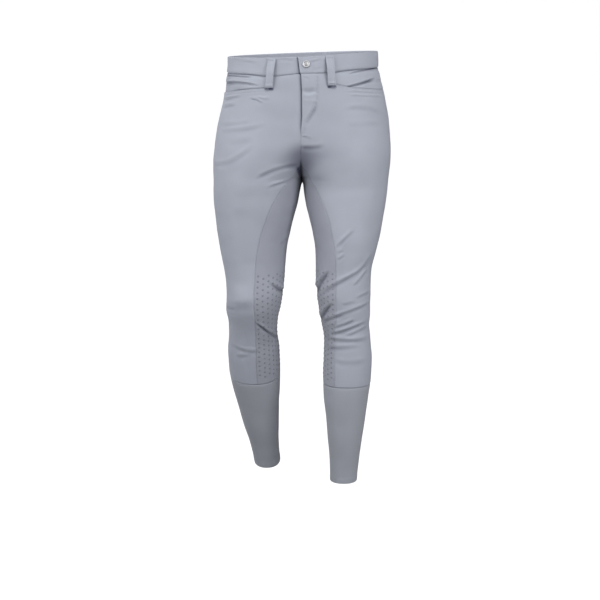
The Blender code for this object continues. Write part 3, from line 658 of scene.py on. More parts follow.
def ripple(points):
    """The slight unevenness of cloth that nothing pulls tight."""
    waves = (
        # waves to the metre along x, y and z, start, share
        (9, 5, 13, 0.3, 0.30), (-14, 8, 9, 1.9, 0.24), (5, -11, 21, 4.1, 0.20),
        (23, 9, -6, 2.7, 0.14), (-8, 19, 31, 5.2, 0.12),
    )
    height = sum(
        share * np.sin(2 * math.pi * (points @ np.array(turns)) + start)
        for *turns, start, share in waves
    )
    return RIPPLE * height * ease((-0.03 - points[..., 2]) / 0.05)


def seam_dip(distance):
    """How far cloth sinks where it turns in at a seam."""
    return -SEAM_DEPTH * np.exp(-((distance / SEAM_WIDTH) ** 2))


def groove(distance, depth=0.3 * MM, width=0.9 * MM):
    """The slight furrow that a line of stitching pulls into the cloth."""
    return -depth * np.exp(-((distance / width) ** 2))


def contact(distance, width):
    """A painted shadow line where one edge lies over another piece, given as a depth of painted shade.
    """
    return PAINTED_SHADE_DEPTH * np.exp(-((distance / width) ** 2))


def tab_end(height):
    """The tab's end leans across towards the top of the waistband."""
    return -TAB_SLANT * height


def pucker(distance, along, size=0.16 * MM):
    """The small gathers that sewing leaves in the cloth on both sides of a seam."""
    waves = np.sin(along / (1.15 * MM)) + 0.7 * np.sin(along / (1.9 * MM) + 1)
    return size * waves * np.exp(-((distance / (3.5 * MM)) ** 2))


def cleft(points, run, level):
    """How far back the cloth folds in on itself in front of the fork (and forward behind it)."""
    reach = ease((CLEFT_TOP - level) / (22 * MM)) * ease((level - FORK_TOUCH) / (10 * MM) + 1.3)
    depth = CLEFT_DEPTH * reach * np.exp(-((run / CLEFT_WIDTH) ** 2))
    return np.stack([0 * depth, -np.sign(points[..., 1]) * depth, 0 * depth], -1)


def fork_hollow(points, level):
    """How far the fronts sink, from 0 to 1, which also sets their painted shade: wide above the fork
    and ever narrower down to it.
    """
    sizes = table("level right left", HOLLOW_WIDTHS)
    widths = [np.interp(-level, -sizes["level"], sizes[name]) for name in ("right", "left")]
    across = points[..., 0] / np.where(points[..., 0] < 0, *widths)
    drop = ease((HOLLOW_TOP - level) / (34 * MM)) * ease((level - HOLLOW_END) / (30 * MM))
    return drop * ease(-points[..., 1] / (50 * MM)) * np.exp(-across**2)


def cleft_shade(points, level):
    """The painted shadow line between the thighs in front of the fork, which leans across as it drops.
    """
    down = ease((CLEFT_SHADE_TOP - level) / (10 * MM))
    middle = np.interp(-level, *CLEFT_LEAN)
    return contact(points[..., 0] - middle, CLEFT_SHADE) * down * (points[..., 1] < 0)


def loop_shade(run, level):
    """The painted shadow strip below the folded foot of each front belt loop."""
    shade = 0
    for _, *sizes in FRONT_LOOPS:
        _, foot, _, foot_level = np.array(sizes) * MM
        within = ease((LOOP_WIDTH / 2 + MM - np.abs(run - foot)) / (2 * MM))
        below = foot_level - LOOP_SHADE_DROP - level
        shade = shade + LOOP_SHADE * within * contact(below, LOOP_SHADE_WIDTH)
    return shade


def pushed(points, normals, lift):
    """Points moved along their normals, but never sideways at the centre, where two sides meet."""
    turned = normals.copy()
    turned[..., 0] *= ease(np.abs(points[..., 0]) / (8 * MM))
    return points + turned * lift[..., None]


def hung_from(top, level):
    """A row's level where the row nearest the waist follows the panel's own top edge."""
    drop = np.clip((level - POCKET_BLEND) / (PANEL_TOP - POCKET_BLEND), 0, 1)
    return level + (top - PANEL_TOP) * drop


def fly_edge(level):
    edge = table("level across", FLY_EDGE)
    return np.interp(-level, -edge["level"], edge["across"])


def fly_line(level):
    line = table("level across", FLY_LINE)
    return smooth(line["level"], line["across"], level)


def lapped(level):
    """1 where the fly laps over, falling to 0 where its two sides meet in a seam."""
    return ease((level - FLY_CLOSED) / (36 * MM))


def front_edges(side, level):
    """The runs where a front begins, at the fly or the inner leg seam, and ends, at the side."""
    tuck = 0 if side is LEFT else FLY_TUCK * lapped(level)
    fly = side.sign * fly_edge(level) - tuck
    start = np.where(level > INNER_TOP, fly, side.seam("front", level)) + HALF_GAP
    return start, side.seam("side", level) - HALF_GAP


def back_edges(side, level):
    """The runs where a back begins, at the side seam, and ends, at the centre or inner leg."""
    return side.seam("side", level) + HALF_GAP, side.seam("back", level) - HALF_GAP


def back_top(side, share):
    """The back's top edge: the waistband seam."""
    return side.band_edge("bottom", share) - SEAM_GAP


def front_top(side, share):
    """The front's top edge: the waistband seam, then down to the mouth of the pocket."""
    out = np.abs(side.at(np.full(np.shape(share), PANEL_TOP), share)[0][..., 0])
    waist = side.band_edge("bottom", share) - SEAM_GAP
    step = ease((out - MOUTH_STEP[0]) / (MOUTH_STEP[1] - MOUTH_STEP[0]))
    return waist + (side.mouth_level(share) - waist) * step


def front_surface(side, run, level):
    """A front panel's outer points and normals, its thickness, how near its open edges are, and its
    lift less its painted shade, which sets how much painted shade darkens its colour. The other
    surfaces give the same."""
    start, end = front_edges(side, level)
    top = front_top(side, run / side.length(level))
    points, normals = from_front(run * side.sign, level)
    from_start, from_end, from_top = run - start, end - run, top - level
    at_pocket = ease((np.abs(points[..., 0]) - MOUTH_STEP[0] - 3 * MM) / (8 * MM))
    # Painted shadows in the cleft between the thighs and under each front loop's foot.
    shade = cleft_shade(points, level) + loop_shade(run * side.sign, level)
    lift = fold_height(FOLDS, side, level, points) + ripple(points)
    lift += seam_dip(from_end) + seam_dip(level - CUFF_SEAM - HALF_GAP)
    lift += seam_dip(from_top) * (1 - at_pocket) + pucker(from_top, run)
    plain = np.where(level > INNER_TOP, CENTRE_SEAM * (1 - lapped(level)), INNER_SEAM)
    lift += seam_dip(from_start) * plain + pucker(from_start, level) * plain
    lift += MOUTH_LIFT[side.sign] * ease(1 - from_top / (14 * MM)) * at_pocket
    hollow_and_painted_shade = fork_hollow(points, level)
    lift -= FORK_HOLLOW * hollow_and_painted_shade
    # Painted shade in the hollow above the fork, on top of its real sinking.
    shade += FORK_SHADE * hollow_and_painted_shade
    points = points + cleft(points, run, level)
    for below in MOUTH_LINES:
        lift += groove(from_top - below) * at_pocket
    hem = ease((MOUTH_HEM - from_top) / (1.5 * MM) + 0.5) * at_pocket
    thickness = CLOTH + MOUTH_CLOTH[side.sign] * hem
    open_edge = np.where(at_pocket > 0.5, from_top, NO_OPEN_EDGE)
    if side is LEFT:
        width = fly_line(level)
        above_end = ease((level - FLY_END) / (12 * MM))
        lift += FLY_LIFT * ease((width - run) / (7 * MM) + 0.5) * above_end
        lift += pucker(run - width, level, 0.25 * MM) * above_end
        lift += FLY_LIFT * 0.5 * lapped(level) * np.exp(-((from_start / (9 * MM)) ** 2))
        shown = (level < FLY_LINE[0][0] * MM) & (level > FLY_LINE[-1][0] * MM)
        lift += groove(run - width, *FLY_GROOVE) * shown
        open_edge = np.where(lapped(level) > 0.2, np.minimum(open_edge, from_start), open_edge)
    else:
        lift -= FLY_UNDER * lapped(level) * ease((9 * MM - fly_edge(level) - run) / (8 * MM))
        # Painted shadow on the underlap along the fly's lapped edge, stronger towards the top.
        high, low = FLY_SHADE
        strength = low + (high - low) * ease((level - FLY_SHADE_LOW) / (30 * MM))
        shade += strength * contact(run + fly_edge(level), FLY_SHADE_WIDTH) * lapped(level)
    return pushed(points, normals, lift), normals, thickness, open_edge, lift - shade


def back_surface(side, run, level):
    length = side.length(level)
    start, end = back_edges(side, level)
    top = back_top(side, run / length)
    points, normals = side.at(level, run / length)
    lift = fold_height(FOLDS, side, level, points) + ripple(points)
    for distance in (run - start, end - run, top - level, level - CUFF_SEAM - HALF_GAP):
        lift += seam_dip(distance)
    lift += pucker(end - run, level) + pucker(top - level, run)
    points = points + cleft(points, length - run, level)
    return pushed(points, normals, lift), normals, CLOTH, NO_OPEN_EDGE, lift


def inner_surface(side, run, level):
    """The inner leg panel at a signed run: forward of the inseam (or centre) it is positive."""
    length = side.length(level)
    share = np.where(run >= 0, run, length + run) / length
    points, normals = side.at(level, share)
    to_seam = np.where(
        run >= 0, side.seam("front", level) - run, run + length - side.seam("back", level)
    )
    lift = fold_height(FOLDS, side, level, points) + ripple(points)
    lift += INNER_SEAM * (seam_dip(to_seam) + pucker(to_seam, level))
    lift += seam_dip(level - CUFF_SEAM - HALF_GAP)
    hollow_and_painted_shade = fork_hollow(points, level)
    lift -= FORK_HOLLOW * hollow_and_painted_shade
    # Painted shade in the hollow above the fork and in the cleft between the thighs.
    shade = FORK_SHADE * hollow_and_painted_shade + cleft_shade(points, level)
    points = points + cleft(points, run, level)
    return pushed(points, normals, lift), normals, CLOTH, NO_OPEN_EDGE, lift - shade


def facing_surface(side, share, level):
    """The pocket facing: soft rolls between the waistband, a fold and the mouth."""
    points, normals = side.at(level, share)
    top, mouth = side.band_edge("bottom", share), side.mouth_level(share)
    down = (top - level) / (top - mouth)
    out = np.abs(points[..., 0])

    def changed(amount, change, outwards=1):
        start, width = change
        return amount[side.sign] * ease(outwards * (out - start) / width)

    puff = FACING_PUFF * (1 - changed(SIDE_PUFF, PUFF_CHANGE))
    puff = puff * ease(down / 0.3) * ease((1.02 - down) / MOUTH_SLOPE[side.sign])
    mouth_depth = MOUTH_DEPTH[side.sign] - changed(MOUTH_FADE, MOUTH_CHANGE, -1)
    lift = puff - FACING_TOP - (FACING_DEPTH - FACING_TOP) * ease(1.1 - 14 * np.maximum(down, 0))
    lift -= (mouth_depth - FACING_TOP) * ease(down) - fold_height(FACING_FOLDS, side, level, points)
    # Painted light: near the side seam the facing is lightened by taking away some of its painted
    # shade.
    light = changed(SIDE_LIGHT, LIGHT_CHANGE) * ease((down - LIGHT_DOWN[0]) / LIGHT_DOWN[1])
    return points + normals * lift[..., None], normals, CLOTH, NO_OPEN_EDGE, lift + light


def band_surface(side, run, level, top, bottom):
    """A half of the waistband, lifted at the tab and sunk under it, with soft edges and a painted
    shadow along the tab's end.
    """
    points, normals = from_front(run * side.sign, level)
    height = (level - bottom) / (top - bottom)
    shade = np.zeros(run.shape)
    if side is LEFT:
        lift = BAND_LIFT + TAB_LIFT * ease((TAB_LENGTH - run) / (12 * MM))
        open_edge = np.minimum(top - level, run - tab_end(height))
    else:
        lift = BAND_LIFT - UNDERLAP_DEPTH * ease((12 * MM - run) / (6 * MM))
        open_edge = np.minimum(top - level, run + UNDERLAP)
        # Painted shadow on the underlap along the tab's end.
        shade = contact(run + tab_end(height), 1.8 * MM)
    lift = lift + 0.4 * MM * (1 - (2 * height - 1) ** 2) + 1.2 * MM * height**2
    lift += 1.3 * seam_dip(level - bottom)
    lift += fold_height(BAND_FOLDS, side, level, points) + 0.4 * ripple(points - (0, 0, 0.1))
    lift += groove(top - level - BAND_LINES[0]) + groove(level - bottom - BAND_LINES[1])
    return points + normals * lift[..., None], normals, BAND_CLOTH, open_edge, lift - shade


def cuff_surface(side, run, level):
    points, normals = side.at(level, run / side.length(level))
    above = CUFF_SEAM - HALF_GAP - level
    below = level - HEM
    lift = seam_dip(above) + 0.5 * MM * ease((12 * MM - below) / MM) + 0.6 * ripple(points)
    lift += groove(above - CUFF_LINES[0]) + groove(below - CUFF_LINES[1])
    return points + normals * lift[..., None], normals, CUFF_CLOTH, below, lift


def rounded(distance, thickness):
    """How far each face of a wall turns in near an open edge, so that the edge is round."""
    half = thickness / 2
    near = np.clip(1 - distance / half, 0, 1)
    return half * 0.9 * (1 - np.sqrt(1 - near**2))


def spaced_lines(width, step, ends=(True, True)):
    """Grid lines from 0 to 1 over a width, closer together near the ends that ask for it."""
    fine = EDGE_LINES[EDGE_LINES < width / 3]
    low = fine if ends[0] else fine[:1]
    high = width - (fine if ends[1] else fine[:1])[::-1]
    count = max(int(round((high[0] - low[-1]) / step)), 1)
    middle = np.linspace(low[-1], high[0], count + 1)[1:-1]
    return np.r_[low, middle, high] / width


def stepped_levels(*stretches):
    """Levels over (start, end, step) stretches in turn."""
    found = []
    for start, end, step in stretches:
        count = max(int(round((start - end) / step)), 1)
        found.append(np.linspace(start, end, count, endpoint=False))
    return np.r_[np.concatenate(found), stretches[-1][1]]


def smooth_mesh(name, bm):
    """A finished form as a mesh with smooth shading."""
    mesh = bpy.data.meshes.new(name)
    bm.to_mesh(mesh)
    bm.free()
    mesh.shade_smooth()
    return mesh


def cloth(name, place, columns, rows, material, slot, node):
    """A wall of cloth: a grid whose lines lie at the given places, set on its outer face, and
    the same grid one thickness in, rounded where an edge is open. Its UV map is in metres."""
    bm = bmesh.new()
    bmesh.ops.create_grid(bm, x_segments=len(columns) - 1, y_segments=len(rows) - 1, size=0.5)
    outer = set(bm.verts)
    bmesh.ops.extrude_face_region(bm, geom=bm.faces[:], use_keep_orig=True)
    bm.verts.index_update()
    spots = np.array([vert.co[:2] for vert in bm.verts]) + 0.5
    column = np.rint(spots[:, 0] * (len(columns) - 1)).astype(int)
    row = np.rint(spots[:, 1] * (len(rows) - 1)).astype(int)
    inner = np.array([vert not in outer for vert in bm.verts], float)
    (points, normals, thickness, open_edge, lift), flat = place(columns[column], rows[row])
    turn = rounded(open_edge, thickness)
    depth = inner * (thickness - turn) + (1 - inner) * turn
    points = points - normals * depth[:, None]
    for vert, point in zip(bm.verts, points):
        vert.co = point
    bmesh.ops.recalc_face_normals(bm, faces=bm.faces[:])
    if bm.calc_volume(signed=True) < 0:
        bmesh.ops.reverse_faces(bm, faces=bm.faces[:])
    mesh = smooth_mesh(name, bm)
    mesh.set_sharp_from_angle(angle=math.radians(55))
    corner = np.zeros(len(mesh.loops), np.int32)
    mesh.loops.foreach_get("vertex_index", corner)
    uv = mesh.uv_layers.new(name="cloth")
    uv.uv.foreach_set("vector", flat[corner].astype(np.float32).ravel())
    # Painted shade: how deep each point lies in a hollow or in a painted shadow line darkens the
    # colour of the cloth.
    hollow_and_painted_shade = mesh.attributes.new("hollow_and_painted_shade", "FLOAT", "POINT")
    hollow_and_painted_shade.data.foreach_set("value", np.clip(-lift / PAINTED_SHADE_DEPTH, 0, 1).astype(np.float32))
    return dressed(name, mesh, material, slot, node)


def dressed(name, mesh, material, slot, *nodes):
    """A finished piece: linked, given its material, and set to ride and to stand for its solids."""
    piece = bpy.data.objects.new(name, mesh)
    mesh.materials.append(material)
    bpy.context.scene.collection.objects.link(piece)
    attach(piece, "root")
    if nodes:
        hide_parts(*nodes)
    return piece


PANEL_ROWS = stepped_levels(
    (PANEL_TOP, PANEL_TOP - 3 * MM, 0.6 * MM),
    (PANEL_TOP - 3 * MM, POCKET_BLEND, 2.2 * MM),
    (POCKET_BLEND, INNER_TOP, 3 * MM),
)
LEG_ROWS = stepped_levels(
    (INNER_TOP, INNER_BLEND, 2.2 * MM),
    (INNER_BLEND, -330 * MM, 3.2 * MM),
    (-330 * MM, -600 * MM, 2.2 * MM),
    (-600 * MM, CUFF_SEAM + 3 * MM, 3.2 * MM),
    (CUFF_SEAM + 3 * MM, CUFF_SEAM + HALF_GAP, 0.6 * MM),
)
WHOLE_ROWS = np.r_[PANEL_ROWS[:-1], LEG_ROWS]


def hung_panel(side, edges, top, surface):
    """The places of a panel that spans two seams and hangs from its own top edge."""
    def run_at(across, level):
        start, end = edges(side, level)
        return start + (end - start) * across

    def place(across, level):
        level = hung_from(top(side, run_at(across, level) / side.length(level)), level)
        run = run_at(across, level)
        return surface(side, run, level), np.stack([run, level], 1)

    return place


def make_front(hand, side, material):
    place = hung_panel(side, front_edges, front_top, front_surface)
    columns = spaced_lines(235 * MM, 2.6 * MM)
    name = f"front_{hand}"
    piece = cloth(name + "_cloth", place, columns, WHOLE_ROWS, material, "stretch_cloth", name)


def make_back(hand, side, material):
    place = hung_panel(side, back_edges, back_top, back_surface)
    columns = spaced_lines(235 * MM, 3.2 * MM)
    name = f"back_{hand}"
    piece = cloth(name + "_cloth", place, columns, WHOLE_ROWS, material, "stretch_cloth", name)


def fork_table(side, seam):
    """Levels from the inner panel's top to the fork, and its reach from the seam to the centre."""
    levels = np.arange(INNER_TOP, FORK_TOUCH - 20 * MM, -RING_STEP)
    run = side.seam(seam, levels)
    if seam == "back":
        run = side.length(levels) - run
    closed = side.at(levels, np.zeros(len(levels)))[0][:, 0] * side.sign > 0
    fork = np.argmax(closed)
    return levels[: fork + 1], np.maximum.accumulate(run[: fork + 1])


def make_inner_leg(hand, side, material):
    """The inner leg panel: a front and a back horn that meet the other leg's at the fork."""
    front_levels, front_runs = fork_table(side, "front")
    back_levels, back_runs = fork_table(side, "back")
    fork = front_levels[-1]

    def place(across, level):
        from_seam = np.where(across <= 0.5, across, 1 - across) * 2
        front_top_level = np.interp(from_seam * front_runs[-1], front_runs, front_levels)
        back_top_level = np.interp(from_seam * back_runs[-1], back_runs, back_levels)
        top = np.where(across <= 0.5, front_top_level, back_top_level)
        blend = np.clip((level - INNER_BLEND) / (INNER_TOP - INNER_BLEND), 0, 1)
        level = level + (top - INNER_TOP) * blend
        length = side.length(level)
        above = level >= fork
        runs = []
        for seam_run, fork_run in (
            (side.seam("front", level), front_runs[-1]),
            (length - side.seam("back", level), back_runs[-1]),
        ):
            run = np.where(above, seam_run - from_seam * fork_run, (1 - from_seam) * seam_run)
            runs.append(np.clip(run, HALF_GAP * above, seam_run - HALF_GAP))
        run = np.where(across <= 0.5, runs[0], -np.maximum(runs[1], 1e-7))
        return inner_surface(side, run, level), np.stack([run, level], 1)

    half = spaced_lines(90 * MM, 2.4 * MM, (True, False)) / 2
    columns = np.r_[half, 1 - half[-2::-1]]
    name = f"inner_leg_{hand}"
    piece = cloth(name + "_cloth", place, columns, LEG_ROWS, material, "grip_cloth", name)


def make_facing(hand, side, material):
    """The facing that shows above the pocket's mouth and runs on a little behind it."""
    length = side.length(PANEL_TOP)
    top_ring = int((side.levels[0] - PANEL_TOP) / RING_STEP)
    start = side.shares_where(0, MOUTH_STEP[0] - SEAM_TUCK, "front")[top_ring]
    end = side.seam("side", PANEL_TOP) / length + SEAM_TUCK / length

    def place(across, down):
        share = start + (end - start) * across
        top = side.band_edge("bottom", share) + SEAM_TUCK
        level = top + (side.mouth_level(share) - FACING_TUCK - top) * down
        return facing_surface(side, share, level), np.stack([share * length, level], 1)

    columns = spaced_lines((end - start) * length, 2.4 * MM, (False, False))
    rows = np.linspace(0, 1, 46)
    name = f"pocket_facing_{hand}"
    piece = cloth(name + "_cloth", place, columns, rows, material, "stretch_cloth", name)


def make_band(hand, side, material):
    length = side.length(0.0) - SEAM_GAP
    start = 0 if side is LEFT else -UNDERLAP

    def place(across, down):
        run = start + (length - start) * across
        if side is LEFT:
            run = run + tab_end(1 - down) * np.clip(1 - 12 * across, 0, 1)
        share = np.clip(run / length, 0, 1)
        top, bottom = (side.band_edge(edge, share) for edge in ("top", "bottom"))
        level = top + (bottom - top) * down
        run = run + (side.length(level) - SEAM_GAP - length) * share
        return band_surface(side, run, level, top, bottom), np.stack([run, level], 1)

    columns = spaced_lines(length - start, 2.4 * MM)
    rows = spaced_lines(33 * MM, 1.8 * MM)
    name = f"waistband_{hand}"
    piece = cloth(name + "_cloth", place, columns, rows, material, "stretch_cloth", name)


def make_cuff(hand, side, material):
    def place(across, level):
        length = side.length(level)
        run = HALF_GAP + (length - SEAM_GAP) * across
        return cuff_surface(side, run, level), np.stack([run, level], 1)

    columns = spaced_lines(300 * MM, 3 * MM)
    top = CUFF_SEAM - HALF_GAP
    rows = top + (HEM - top) * spaced_lines(210 * MM, 3.2 * MM)
    name = f"calf_cuff_{hand}"
    piece = cloth(name + "_knit", place, columns, rows, material, "cuff_knit", name)


def loop_surface(ends, levels, round_from, across, down):
    """A belt loop's outer face: it arches off the waistband, and its lower end is folded under."""
    run = ends[0] + (ends[1] - ends[0]) * down + (across - 0.5) * LOOP_WIDTH
    height = levels[0] - levels[1]
    level = levels[0] - height * down
    points, normals = round_from(run, level)
    folded = ease((down * height - height + LOOP_FOLD_LENGTH) / (5 * MM) + 0.5)
    thickness = LOOP_CLOTH + (LOOP_FOLD - LOOP_CLOTH) * folded
    arch = np.sin(math.pi * np.clip(down * 1.03, 0, 1))
    clear = BAND_LIFT * (1 - ease((down - 0.45) / 0.2)) + LOOP_FOOT
    twist = np.sign(ends[0]) * (0.5 - across) * 2.4 * MM * arch
    lift = clear + LOOP_ARCH * arch + twist + thickness
    edge = np.minimum(across, 1 - across) * LOOP_WIDTH
    lift += groove(edge - LOOP_LINE) + 0.25 * MM * np.exp(-(((edge - 1.2 * MM) / MM) ** 2))
    open_edge = np.minimum(edge, np.minimum(down, 1 - down) * height)
    return points + normals * lift[:, None], normals, thickness, open_edge, np.zeros(run.shape)


def loop_places():
    """Every belt loop's name, its ends across and up, and how its distances are measured."""
    for name, *sizes in FRONT_LOOPS:
        top, foot, top_level, foot_level = np.array(sizes) * MM
        yield "front_" + name, (top, foot), (top_level, foot_level), from_front
    for name, place in (("left", 1), ("centre", 0), ("right", -1)):
        yield "back_" + name, (place * BACK_LOOP_SPACING,) * 2, BACK_LOOP_ENDS, from_back


def make_loop(name, ends, levels, round_from, material):
    height = levels[0] - levels[1]

    def place(across, down):
        flat = np.stack([across * LOOP_WIDTH, down * height], 1)
        return loop_surface(ends, levels, round_from, across, down), flat

    columns = spaced_lines(LOOP_WIDTH, 1.6 * MM)
    rows = spaced_lines(height, 1.8 * MM)
    node = f"belt_loop_{name}"
    piece = cloth(node + "_strip", place, columns, rows, material, "stretch_cloth", node)


def stitch_places(points, normals, pitch=STITCH_PITCH, slant=0.0, length=STITCH_LENGTH):
    """The places of a line of stitches along points on the cloth, as matrices."""
    steps = np.r_[0, np.cumsum(np.linalg.norm(np.diff(points, axis=0), axis=1))]
    count = max(int(steps[-1] / pitch), 1)
    middles = (np.arange(count) + 0.5) * steps[-1] / count

    def along(values, at):
        return np.stack([np.interp(at, steps, values[:, k]) for k in range(3)], 1)

    run = along(points, middles + 0.3 * pitch) - along(points, middles - 0.3 * pitch)
    return places_on(along(points, middles), run, along(normals, middles), slant, length)


def places_on(points, runs, normals, slant, length):
    """Matrices that lay a small form at points, its X along the runs and its Z outwards."""
    forward = runs / np.linalg.norm(runs, axis=1, keepdims=True)
    up = normals - forward * (normals * forward).sum(1, keepdims=True)
    up /= np.linalg.norm(up, axis=1, keepdims=True)
    across = np.cross(up, forward)
    turned = forward * math.cos(slant) + across * math.sin(slant)
    places = np.zeros((len(points), 3, 4))
    places[:, :, 0] = turned * length / 2
    places[:, :, 1] = np.cross(up, turned) * STITCH_WIDTH / 2
    places[:, :, 2] = up * STITCH_HEIGHT / 2
    places[:, :, 3] = points + up * STITCH_HEIGHT * 0.2
    return places


def repeated(name, places, material, slot, segments, rings):
    """One small rounded form, made once and then doubled until it stands at every place."""
    mesh = bpy.data.meshes.new(name)
    bm = bmesh.new()
    bmesh.ops.create_uvsphere(bm, u_segments=segments, v_segments=rings, radius=1)
    bm.to_mesh(mesh)
    bm.clear()
    bm.from_mesh(mesh)
    shape = np.array([(*vert.co, 1) for vert in bm.verts])
    counts = [len(kind) for kind in (bm.verts, bm.edges, bm.faces)]
    made = 1
    while made < len(places):
        more = min(made, len(places) - made)
        kinds = zip((bm.verts, bm.edges, bm.faces), counts)
        geometry = [item for kind, count in kinds for item in kind[: more * count]]
        bmesh.ops.duplicate(bm, geom=geometry)
        made += more
        for kind in (bm.verts, bm.edges, bm.faces):
            kind.ensure_lookup_table()
    points = np.einsum("nij,vj->nvi", places, shape).reshape(-1, 3)
    for vert, point in zip(bm.verts, points):
        vert.co = point
    bm.to_mesh(mesh)
    bm.free()
    mesh.shade_smooth()
    dressed(name, mesh, material, slot)


def sewn(surface, *place, **stitches):
    """A line of stitches along places on a surface."""
    return stitch_places(*surface(*place)[:2], **stitches)


def line(start, end, step=1.5 * MM):
    return np.linspace(start, end, max(int(abs(end - start) / step), 2))


def sew_front():
    """The fly's curved line, its bartack, and two lines below each pocket's mouth."""
    level = line(FLY_LINE[0][0] * MM, FLY_LINE[-1][0] * MM)
    yield sewn(front_surface, LEFT, fly_line(level), level)
    run = line(4 * MM, 12 * MM, 0.5 * MM)
    yield sewn(front_surface, LEFT, run, np.full(len(run), -138 * MM), **BARTACK)
    for side in SIDES.values():
        length = side.length(PANEL_TOP)
        run = line(MOUTH_STEP[1] + 2 * MM, side.seam("side", PANEL_TOP) - 3 * MM)
        for below in MOUTH_LINES:
            level = front_top(side, run / length) - below
            yield sewn(front_surface, side, run * side.length(level) / length, level)


def sew_inner_legs():
    """A line down each seam of the inner leg panels."""
    for side in SIDES.values():
        level = line(INNER_TOP - 8 * MM, CUFF_SEAM + 2 * MM)
        for seam, inward in (("front", -1), ("back", 1)):
            run = side.seam(seam, level) - (side.length(level) if seam == "back" else 0)
            yield sewn(inner_surface, side, run + inward * INNER_LINE, level)


def sew_back():
    """A line beside the centre back seam."""
    level = line(-30 * MM, INNER_TOP)
    yield sewn(back_surface, LEFT, LEFT.length(level) - BACK_LINE, level)


def sew_band():
    """A line along both edges of the waistband."""
    for side in SIDES.values():
        length = side.length(0.0)
        run = line((-1 if side is LEFT else 7) * MM, length - MM)
        share = run / length
        top, bottom = (side.band_edge(edge, share) for edge in ("top", "bottom"))
        for level in (top - BAND_LINES[0], bottom + BAND_LINES[1]):
            yield sewn(band_surface, side, run, level, top, bottom)


def sew_loops():
    """Two lines along each belt loop, and a bartack at both of its ends."""
    for _, *loop in loop_places():
        down = line(0.03, 0.97, 0.02)
        for across in (LOOP_LINE / LOOP_WIDTH, 1 - LOOP_LINE / LOOP_WIDTH):
            yield sewn(loop_surface, *loop, np.full(len(down), across), down)
        across = line(0.12, 0.88, 0.03)
        for down in (0.05, 0.93):
            yield sewn(loop_surface, *loop, across, np.full(len(across), down), **BARTACK)


def sew_cuffs():
    """A line below each cuff's seam and one above its hem."""
    for side in SIDES.values():
        for level in (CUFF_SEAM - CUFF_LINES[0], HEM + CUFF_LINES[1]):
            run = line(MM, side.length(level) - MM)
            yield sewn(cuff_surface, side, run, np.full(len(run), level))


def grip_dot_places(hand, side, sizes):
    """Staggered columns down the inside of the knee and calf, which run with the front seam."""
    pitch = sizes.dot_spacing
    shape = np.array((sizes.dot_width / 2, sizes.dot_width / 2, sizes.dot_height))
    for number in range(GRIP_COLUMNS):
        level = np.arange(GRIP_TOP[hand] - (number % 2) * pitch / 2, GRIP_END, -pitch)
        run = side.seam("front", level) - 7 * MM - number * 1.08 * pitch
        inside = run > side.seam("back", level) - side.length(level) + 5 * MM
        level, run = level[inside], run[inside]
        if len(run) < 2:
            break
        points, normals = inner_surface(side, run, level)[:2]
        places = places_on(points, np.gradient(points, axis=0), normals, 0.0, 1.0)
        places[:, :, :3] *= shape / np.linalg.norm(places[:, :, :3], axis=1).mean(0)
        places[:, :, 3] = points
        yield places


def spun(profile, steps):
    """A form spun round the vertical from a profile of radii and heights."""
    bm = bmesh.new()
    verts = [bm.verts.new((radius, 0, height)) for radius, height in profile]
    edges = [bm.edges.new(pair) for pair in zip(verts, verts[1:])]
    turn = {"cent": (0, 0, 0), "axis": (0, 0, 1), "angle": 2 * math.pi}
    bmesh.ops.spin(bm, geom=verts + edges, steps=steps, use_merge=True, **turn)
    bmesh.ops.remove_doubles(bm, verts=bm.verts[:], dist=0.1 * MM)
    bmesh.ops.recalc_face_normals(bm, faces=bm.faces[:])
    return bm


def make_button(material):
    """A domed metal button with one plain ring."""
    bm = spun([(r * BUTTON_RADIUS, h * BUTTON_RADIUS) for r, h in BUTTON_PROFILE], 56)
    place, normal = from_front(np.array([BUTTON_ACROSS]), np.array([BUTTON_LEVEL]))
    lift = BAND_LIFT + TAB_LIFT + 0.3 * MM
    turn = Vector(normal[0]).to_track_quat("Z", "Y").to_matrix().to_4x4()
    bm.transform(Matrix.Translation(Vector(place[0] + normal[0] * lift)) @ turn)
    mesh = smooth_mesh("waist_button_metal", bm)
    mesh.set_sharp_from_angle(angle=math.radians(40))
    dressed("waist_button_metal", mesh, material, "button_metal", "waist_button")


def new_group(name, inputs, outputs):
    group = bpy.data.node_groups.new(name, "ShaderNodeTree")
    for label, kind, default in inputs:
        socket = group.interface.new_socket(label, in_out="INPUT", socket_type=kind)
        socket.default_value = default
    for label, kind in outputs:
        group.interface.new_socket(label, in_out="OUTPUT", socket_type=kind)
    return group, group.nodes.new("NodeGroupInput"), group.nodes.new("NodeGroupOutput")


def math_node(nodes, links, operation, first, second):
    """A Math node whose inputs are sockets or plain numbers."""
    node = nodes.new("ShaderNodeMath")
    node.operation = operation
    for socket, value in zip(node.inputs, (first, second)):
        if isinstance(value, (int, float)):
            socket.default_value = value
        elif value is not None:
            links.new(value, socket)
    return node.outputs[0]


